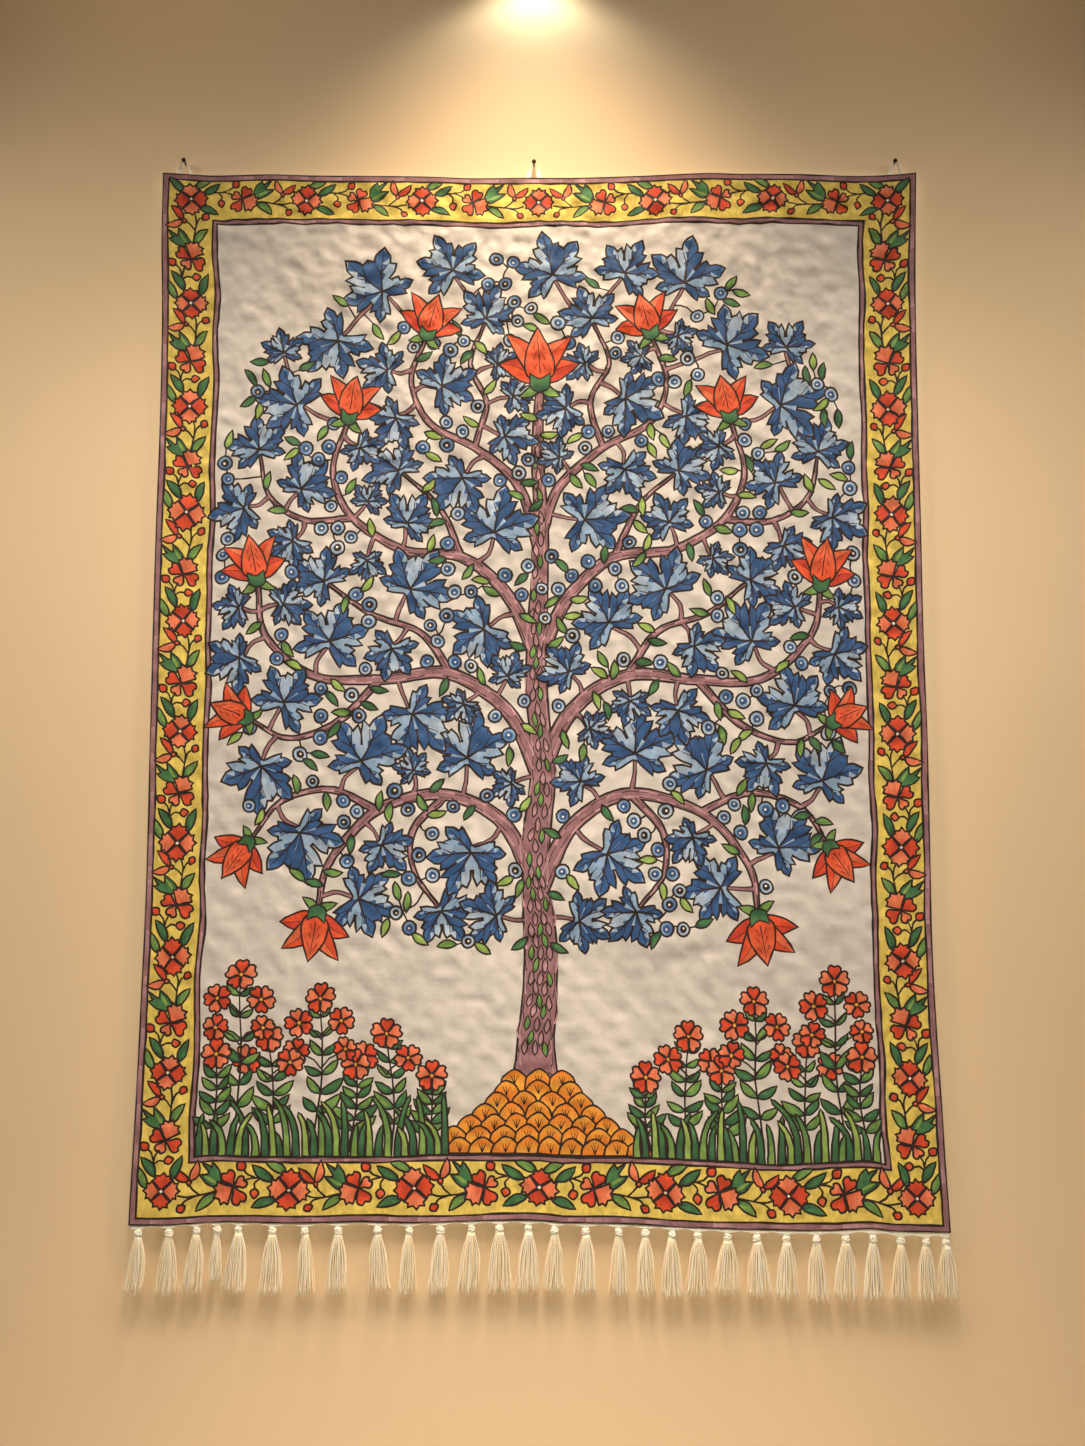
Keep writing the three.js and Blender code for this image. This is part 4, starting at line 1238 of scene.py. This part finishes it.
# Undyed carded cotton, plied loosely: matt and fibrous, with a soft twist every 3 mm along each yarn.
yarn = finish_named("cream plied cotton yarn")
spot = node(yarn, "Attribute", {}, attribute_name="round_and_along")
tone = node(yarn, "Attribute", {}, attribute_name="tone")
parts_of = node(yarn, "SeparateXYZ", {0: spot.outputs["Vector"]})
YARN_TWIST = 0.003
lay_of_yarn = node(yarn, "Math", {0: parts_of.outputs[1], 1: 1 / YARN_TWIST}, operation="MULTIPLY")
turned = node(yarn, "Math", {0: lay_of_yarn, 1: parts_of}, operation="ADD")
phase = node(yarn, "Math", {0: turned, 1: math.tau}, operation="MULTIPLY")
twist = node(yarn, "Math", {0: phase}, operation="SINE")
place = node(yarn, "TexCoord", {}).outputs["Object"]
fibres = node(yarn, "TexNoise", {"Vector": place, "Scale": 900.0, "Detail": 2.0})
fibre_tone = node(yarn, "MapRange", {"Value": fibres, **NOISE, "To Min": 0.92, "To Max": 1.05})
SINE = {"From Min": -1.0, "From Max": 1.0}
# Painted shade: the cream is made a little darker in the grooves of the twist and lighter on its crests.
twist_painted_shade = node(yarn, "MapRange", {"Value": twist, **SINE, "To Min": 0.96, "To Max": 1.02})
level = node(yarn, "Math", {0: fibre_tone, 1: twist_painted_shade}, operation="MULTIPLY")
either = node(yarn, "Mix", {
    "Factor": tone.outputs["Fac"], 6: linear("#ffebc6"), 7: linear("#fffdf0"),
}, data_type="RGBA")
cream = node(yarn, "VectorMath", {0: either.outputs[2], "Scale": level}, operation="SCALE")
ply = node(yarn, "Bump", {"Height": twist, "Strength": 0.28, "Distance": 0.0002})
fluff = node(yarn, "Bump", {"Height": fibres, "Strength": 0.4, "Distance": 0.0002, "Normal": ply})
surface = node(yarn, "BsdfPrincipled", {
    "Base Color": cream, "Roughness": 0.88, "Specular IOR Level": 0.3,
    "Sheen Weight": 0.9, "Sheen Roughness": 0.4, "Normal": fluff,
    "Subsurface Weight": 0.25, "Subsurface Scale": 0.002,
})
node(yarn, "OutputMaterial", {"Surface": surface})

chance = np.random.default_rng(29)
across_heading = np.arange(1.5, CLOTH_WIDTH - 0.9, 2.05)
edge = heading_shows(across_heading) - CORD_RADIUS * 0.6
section = [
    # share of the way from the top of the tape to its edge, back from the cloth's back
    (0, 0), (0.55, 0), (0.84, 0), (0.93, 0), (1, 0.3), (0.93, 1), (0.55, 1), (0, 1),
]
rings = []
for share, back in section:
    below = -HEADING_BEHIND_HEM + share * (edge + HEADING_BEHIND_HEM)
    rings.append(behind_hem(across_heading, below, back * HEADING_THICKNESS + forward(below) * (1 - back)))
heading_tape = skin(np.stack(rings, axis=1), np.arange(len(section)) / len(section), across_heading / 1000)
heading_parts = [(*heading_tape, 0.6)]
for offset, back, tone_here in ((0.0, 0.4, 1.0), (-1.1, 0.35, 0.9), (-0.6, 1.2, 0.6)):
    at = np.arange(2.0, CLOTH_WIDTH - 1.5, 2.5)
    below = heading_shows(at) + offset + 0.18 * np.sin(at * 0.9 + offset * 5)
    path = behind_hem(at, below, back + forward(below) + 0.1 * np.sin(at * 0.7 + offset))
    heading_parts.append((*tube(path, CORD_RADIUS / 1000, 6), tone_here))
for at, *_ in TASSELS:
    # Yarns that run down from the hem on both sides and gather into the knot.
    shows = float(heading_shows(np.array(at)))
    for k, off in enumerate((-9, -6.4, -4, -1.6, 1.5, 4, 6.6, 9.2)):
        off = off + chance.uniform(-0.6, 0.6)
        start = np.clip(at + off, 2, CLOTH_WIDTH - 2)
        t = np.linspace(0, 1, 7)
        line_at = start + (at + np.sign(off) * 0.9 - start) * t ** 0.8
        top = float(heading_shows(np.array(start))) * 0.4 - 1.2
        below = top + (shows + 1.2 - top) * t ** 1.15
        path = behind_hem(np.clip(line_at, 1, CLOTH_WIDTH - 1), below, 0.3 + 0.5 * (k % 2) + forward(below))
        heading_parts.append((*tube(path, GATHERED_RADIUS / 1000, 5), chance.uniform(0.6, 1.0)))
heading = yarn_piece("fringe_heading_yarns", heading_parts, yarn)
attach(heading, "root")
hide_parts("fringe_heading")

# ------------------------------------------------------------------ tassels
# Twenty-nine tassels hang from the heading, each a hank of the same cream yarn in a tight knot.
# The ends are cut and fan out a little, apart from the fourth, whose ends are still looped.
# A few stray yarns wander off to the next tassel.

KNOT_LENGTH = 9
TASSEL_FLATNESS = 0.62
LOOPED = 3  # the tassel with uncut ends, counted from 0
CUT_ENDS = [
    # down, width: both are shares
    (0, 0.28), (0.08, 0.40), (0.17, 0.55), (0.32, 0.75), (0.48, 0.86), (0.68, 0.95), (0.92, 1.02),
    (1.05, 1.10),
]
LOOPED_ENDS = [(0, 0.45), (0.1, 0.48), (0.3, 0.80), (0.55, 1.0), (0.8, 0.94), (1, 0.45)]
YARNS, LOOPED_YARNS = 46, 34
YARN_RADIUS, STRAY_RADIUS = 0.66, 0.38
YARN_POINTS = np.array([0, 0.06, 0.13, 0.24, 0.37, 0.51, 0.65, 0.78, 0.9, 1])  # as shares of its length
GOLDEN_ANGLE = 2.39996  # sets the yarns out evenly round the knot
KNOT_HOLDS = KNOT_LENGTH * 0.84  # the yarns show from here down
STRAYS = {
    # tassel: (way it strays, how far beyond its own spread in millimetres)
    1: (1, 7), 2: (-1, 6), 3: (1, 5), 4: (-1, 7), 12: (1, 6), 13: (-1, 6), 14: (1, 5), 19: (1, 6),
    20: (-1, 6), 21: (1, 7), 22: (-1, 5), 23: (1, 6), 24: (-1, 7), 25: (1, 5), 26: (-1, 6), 27: (1, 5),
    28: (-1, 6),
}

# The knot, modelled once: a pressed ball with four turns of yarn laid over it at odd angles.
bpy.ops.object.select_all(action="DESELECT")
bpy.ops.mesh.primitive_uv_sphere_add(segments=16, ring_count=10, radius=4.1, location=(0, 0, -4.5))
bpy.ops.transform.resize(value=(1.06, 0.96, 1.0))
bpy.ops.object.transform_apply(location=True, rotation=True, scale=True)
knot = bpy.context.object
turns = [
    # radius, thickness, height, tilt about X, tilt about Y
    (3.75, 0.85, -5.6, 18, 24), (3.95, 0.85, -4.3, -26, -18), (3.45, 0.85, -3.0, 14, 34),
    (2.55, 0.75, -8.6, 4, -6), (2.4, 0.75, -1.1, -8, 10),
]
for radius, thick, height, tilt_x, tilt_y in turns:
    bpy.ops.mesh.primitive_torus_add(
        major_radius=radius, minor_radius=thick, major_segments=16, minor_segments=6,
        location=(0, 0, height), rotation=(math.radians(tilt_x), math.radians(tilt_y), radius),
    )
    bpy.ops.object.transform_apply(location=True, rotation=True, scale=True)
    bpy.context.object.select_set(True)
    knot.select_set(True)
    bpy.context.view_layer.objects.active = knot
    bpy.ops.object.join()
knot_corners = np.array([v.co[:] for v in knot.data.vertices])
knot_faces = [list(face.vertices) for face in knot.data.polygons]
bpy.data.objects.remove(knot)

for number, (at, lean, spread, reach) in enumerate(TASSELS):
    shows = float(heading_shows(np.array(at))) + SEAM_GAP
    top = behind_hem(at, shows, -0.3)
    length = reach - shows
    looped = number == LOOPED
    ends = LOOPED_ENDS if looped else CUT_ENDS
    tilt = math.radians(10 * math.sin(number * 1.3))
    turn = Matrix.Rotation(number * 2.1, 3, "Z") @ Matrix.Rotation(tilt, 3, "Y")
    swell = 1.03 + 0.08 * math.sin(number * 2.7)
    corners = knot_corners @ np.array(turn).T * [swell, 0.9, 1.0]
    knot_place = np.stack([np.arctan2(corners[:, 1], corners[:, 0]) / math.tau, corners[:, 2] / 1000], -1)
    parts = [(top + corners / 1000, knot_faces, knot_place, 0.9)]
    strands = LOOPED_YARNS if looped else YARNS
    for k in range(strands + (3 if number in STRAYS else 1)):
        angle, out = k * GOLDEN_ANGLE + number, math.sqrt((k % strands + 0.5) / strands)
        down = np.linspace(0, 0.985, 11) if looped else YARN_POINTS * chance.uniform(0.91, 1.035)
        wide = read_table(ends, down, 1) * spread / 2
        flat_share = 1 + (TASSEL_FLATNESS - 1) * np.minimum(down * 4, 1)
        wave = np.sin(down * chance.uniform(5, 9) + chance.uniform(0, math.tau)) * 0.7 * down
        x = out * math.cos(angle) * wide + lean * down**2 + wave
        y = out * math.sin(angle) * wide * flat_share + chance.uniform(-0.5, 0.5) * down
        if k >= strands:
            way, far = STRAYS.get(number, (1 if number % 2 else -1, 2))
            far = far * (1 - 0.3 * (k - strands))
            x = way * (spread / 2 * read_table(ends, down, 1) * 0.8 + far * down**3) + lean * down**2
            down = down * 0.97
        fray = chance.normal(0, 1.7, 2) * (0.2 if looped else 1)
        x, y = x + fray[0] * down**6, y + fray[1] * down**6
        path = top + np.stack([x, y, -(KNOT_HOLDS + (length - KNOT_HOLDS) * down)], -1) / 1000
        thick = np.full(len(down), YARN_RADIUS if k < strands else STRAY_RADIUS)
        thick[-1] *= 0.55
        parts.append((*tube(path, thick / 1000, 5, chance.uniform(1, 3)), chance.uniform(0.0, 1.0)))
    name = f"tassel_{number + 1:02d}"
    made = yarn_piece(name + "_yarns", parts, yarn)
    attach(made, "root")
    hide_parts(name)

# ------------------------------------------------------------------ hanging loops
# Three short loops of cream cotton tape, sewn behind the top hem and laid over the nails.
# The tape is a narrow twill with firm edges, and it turns from flat at the hem to edge-on at the nail.

TAPE_WIDTH = 6.5
TAPE_THICKNESS = 1.2
# The tape's section: flat faces, edges rounded over, and a slight hollow along the middle.
HALF_SECTION = [(-1, 0), (-0.93, 0.8), (-0.8, 1), (0, 0.82), (0.8, 1), (0.93, 0.8)]
TAPE_SECTION = np.array(HALF_SECTION + [(-wide, -thick) for wide, thick in HALF_SECTION])
TAPE_SECTION *= [TAPE_WIDTH / 2, TAPE_THICKNESS / 2 * 0.8]
TAPE_BEHIND_HEM = 13
TAPE_BEHIND_HEAD = 1
NAIL_SHANK_RADIUS = 1
NAIL_OUT_OF_WALL = 12.2
LOOPS = [
    # side, nail x, nail z, left foot, right foot, bow of the right leg, each leg's turn at the hem in degrees
    ("left", -425.5, 1.9, -6, 8, 1.4, (-82, 34)), ("centre", 0, 0, -7.2, 6.9, 0, (70, 70)),
    ("right", 439, 1, -6.4, 6.8, 0.6, (66, -34)),
]

# Bleached twill tape: fine slanting ribs 1 mm apart, drawn at their own scale, and a denser edge.
tape = finish_named("cream cotton twill tape")
spot = node(tape, "Attribute", {}, attribute_name="round_and_along")
parts_of = node(tape, "SeparateXYZ", {0: spot.outputs["Vector"]})
rib_way = node(tape, "Math", {0: parts_of, 1: parts_of.outputs[1]}, operation="ADD")
RIB_SPACING = 0.001
rib_phase = node(tape, "Math", {0: rib_way, 1: math.tau / RIB_SPACING}, operation="MULTIPLY")
rib = node(tape, "Math", {0: rib_phase}, operation="SINE")
# Painted shade: the cream is made a little darker in the grooves between the ribs and lighter on them.
tone = node(tape, "MapRange", {"Value": rib, **SINE, "To Min": 0.92, "To Max": 1.02})
cream = node(tape, "VectorMath", {0: linear("#fffaee")[:3], "Scale": tone}, operation="SCALE")
ribbed = node(tape, "Bump", {"Height": rib, "Strength": 0.5, "Distance": 0.00015})
surface = node(tape, "BsdfPrincipled", {
    "Base Color": cream, "Roughness": 0.8, "Specular IOR Level": 0.3, "Sheen Weight": 0.4, "Normal": ribbed,
})
node(tape, "OutputMaterial", {"Surface": surface})

for side, nail_x, nail_z, left_foot, right_foot, bow, turned_at_hem in LOOPS:
    at_hem = np.array([nail_x - CLOTH_LEFT, 0.0])
    hem = float(hung(at_hem[:1], at_hem[1:])[0, 2]) * 1000 - nail_z
    bend = NAIL_SHANK_RADIUS + SEAM_GAP + TAPE_THICKNESS / 2
    route = []
    for foot, bowed in ((left_foot, 0), (right_foot, bow)):
        share = np.array([1, 0.9, 0.75, 0.6, 0.5, 0.38, 0.28, 0.18, 0.1])
        z = (hem - TAPE_BEHIND_HEM) * share
        slope = (abs(foot) - bend) / -hem
        leg = math.copysign(1, foot) * (bend - z * slope + 4 * bowed * share * (1 - share)) + 1j * z
        route.append(leg)
    over = bend * np.exp(1j * np.radians([150, 120, 90, 60, 30]))
    line = curve(np.concatenate([route[0], over, route[1][::-1]]), 3)
    way = np.gradient(line)
    outward = 1j * way / abs(way)
    outward *= np.where((outward.real * line.real + outward.imag * (line.imag + 3)) < 0, -1, 1)
    fallen = np.clip(line.imag / (hem + 2), 0, 1)
    ease = fallen * fallen * (3 - 2 * fallen)
    target = np.radians(np.where(line.real < 0, *turned_at_hem))
    hidden = np.clip((hem - 1 - line.imag) / (TAPE_BEHIND_HEM - 3), 0, 1)
    turn = ease * target + hidden * (np.sign(target) * math.pi / 2 - target)
    at_nail = -NAIL_OUT_OF_WALL + TAPE_BEHIND_HEAD + TAPE_WIDTH / 2
    x, z = nail_x + line.real, nail_z + line.imag
    behind = hung(x - CLOTH_LEFT, np.zeros(len(x)), CLOTH_THICKNESS / 2)[:, 1] * 1000
    behind += SEAM_GAP + TAPE_THICKNESS / 2
    y = at_nail + (behind - at_nail) * fallen + ease * np.cos(turn) * TAPE_WIDTH / 2
    centre = np.stack([x, y, z], -1)
    out = np.stack([outward.real, np.zeros(len(x)), outward.imag], -1)
    back = np.array([0.0, 1.0, 0.0])
    across = back * np.cos(turn)[:, None] + out * np.sin(turn)[:, None]
    face = -back * np.sin(turn)[:, None] + out * np.cos(turn)[:, None]
    rings = np.stack([centre + across * wide + face * thick for wide, thick in TAPE_SECTION], axis=1) / 1000
    long = np.r_[0, np.cumsum(abs(np.diff(line)))] / 1000
    wide_at = TAPE_SECTION[:, 0] / 1000
    made = yarn_piece(f"hanging_loop_{side}_tape", [(*skin(rings, wide_at, long), 1.0)], tape)
    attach(made, "root")
    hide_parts(f"hanging_loop_{side}")

# ------------------------------------------------------------------ nails
# Three dome-headed wire nails driven into the wall, which carry the loops.
# The steel is dark, and a little brown where the finish has worn.

# Blued wire steel, drawn and headed: dark, half gloss, with brown specks about 1 mm wide.
steel = finish_named("dark blued steel")
place = node(steel, "TexCoord", {}).outputs["Object"]
specks = node(steel, "TexNoise", {"Vector": place, "Scale": 700.0, "Detail": 3.0})
brown = node(steel, "MapRange", {"Value": specks, "From Min": 0.45, "From Max": 0.7})
tone = node(steel, "Mix", {"Factor": brown, 6: linear("#2b2321"), 7: linear("#5a3a29")}, data_type="RGBA")
rough = node(steel, "MapRange", {"Value": specks, "To Min": 0.32, "To Max": 0.6})
pitted = node(steel, "Bump", {"Height": specks, "Strength": 0.3, "Distance": 0.0002})
surface = node(steel, "BsdfPrincipled", {
    "Base Color": tone.outputs[2], "Metallic": 0.9, "Roughness": rough, "Normal": pitted,
})
node(steel, "OutputMaterial", {"Surface": surface})
for side in ("left", "centre", "right"):
    nail = bpy.data.objects[f"nail_{side}"]
    for holder in nail.material_slots:
        holder.material = steel
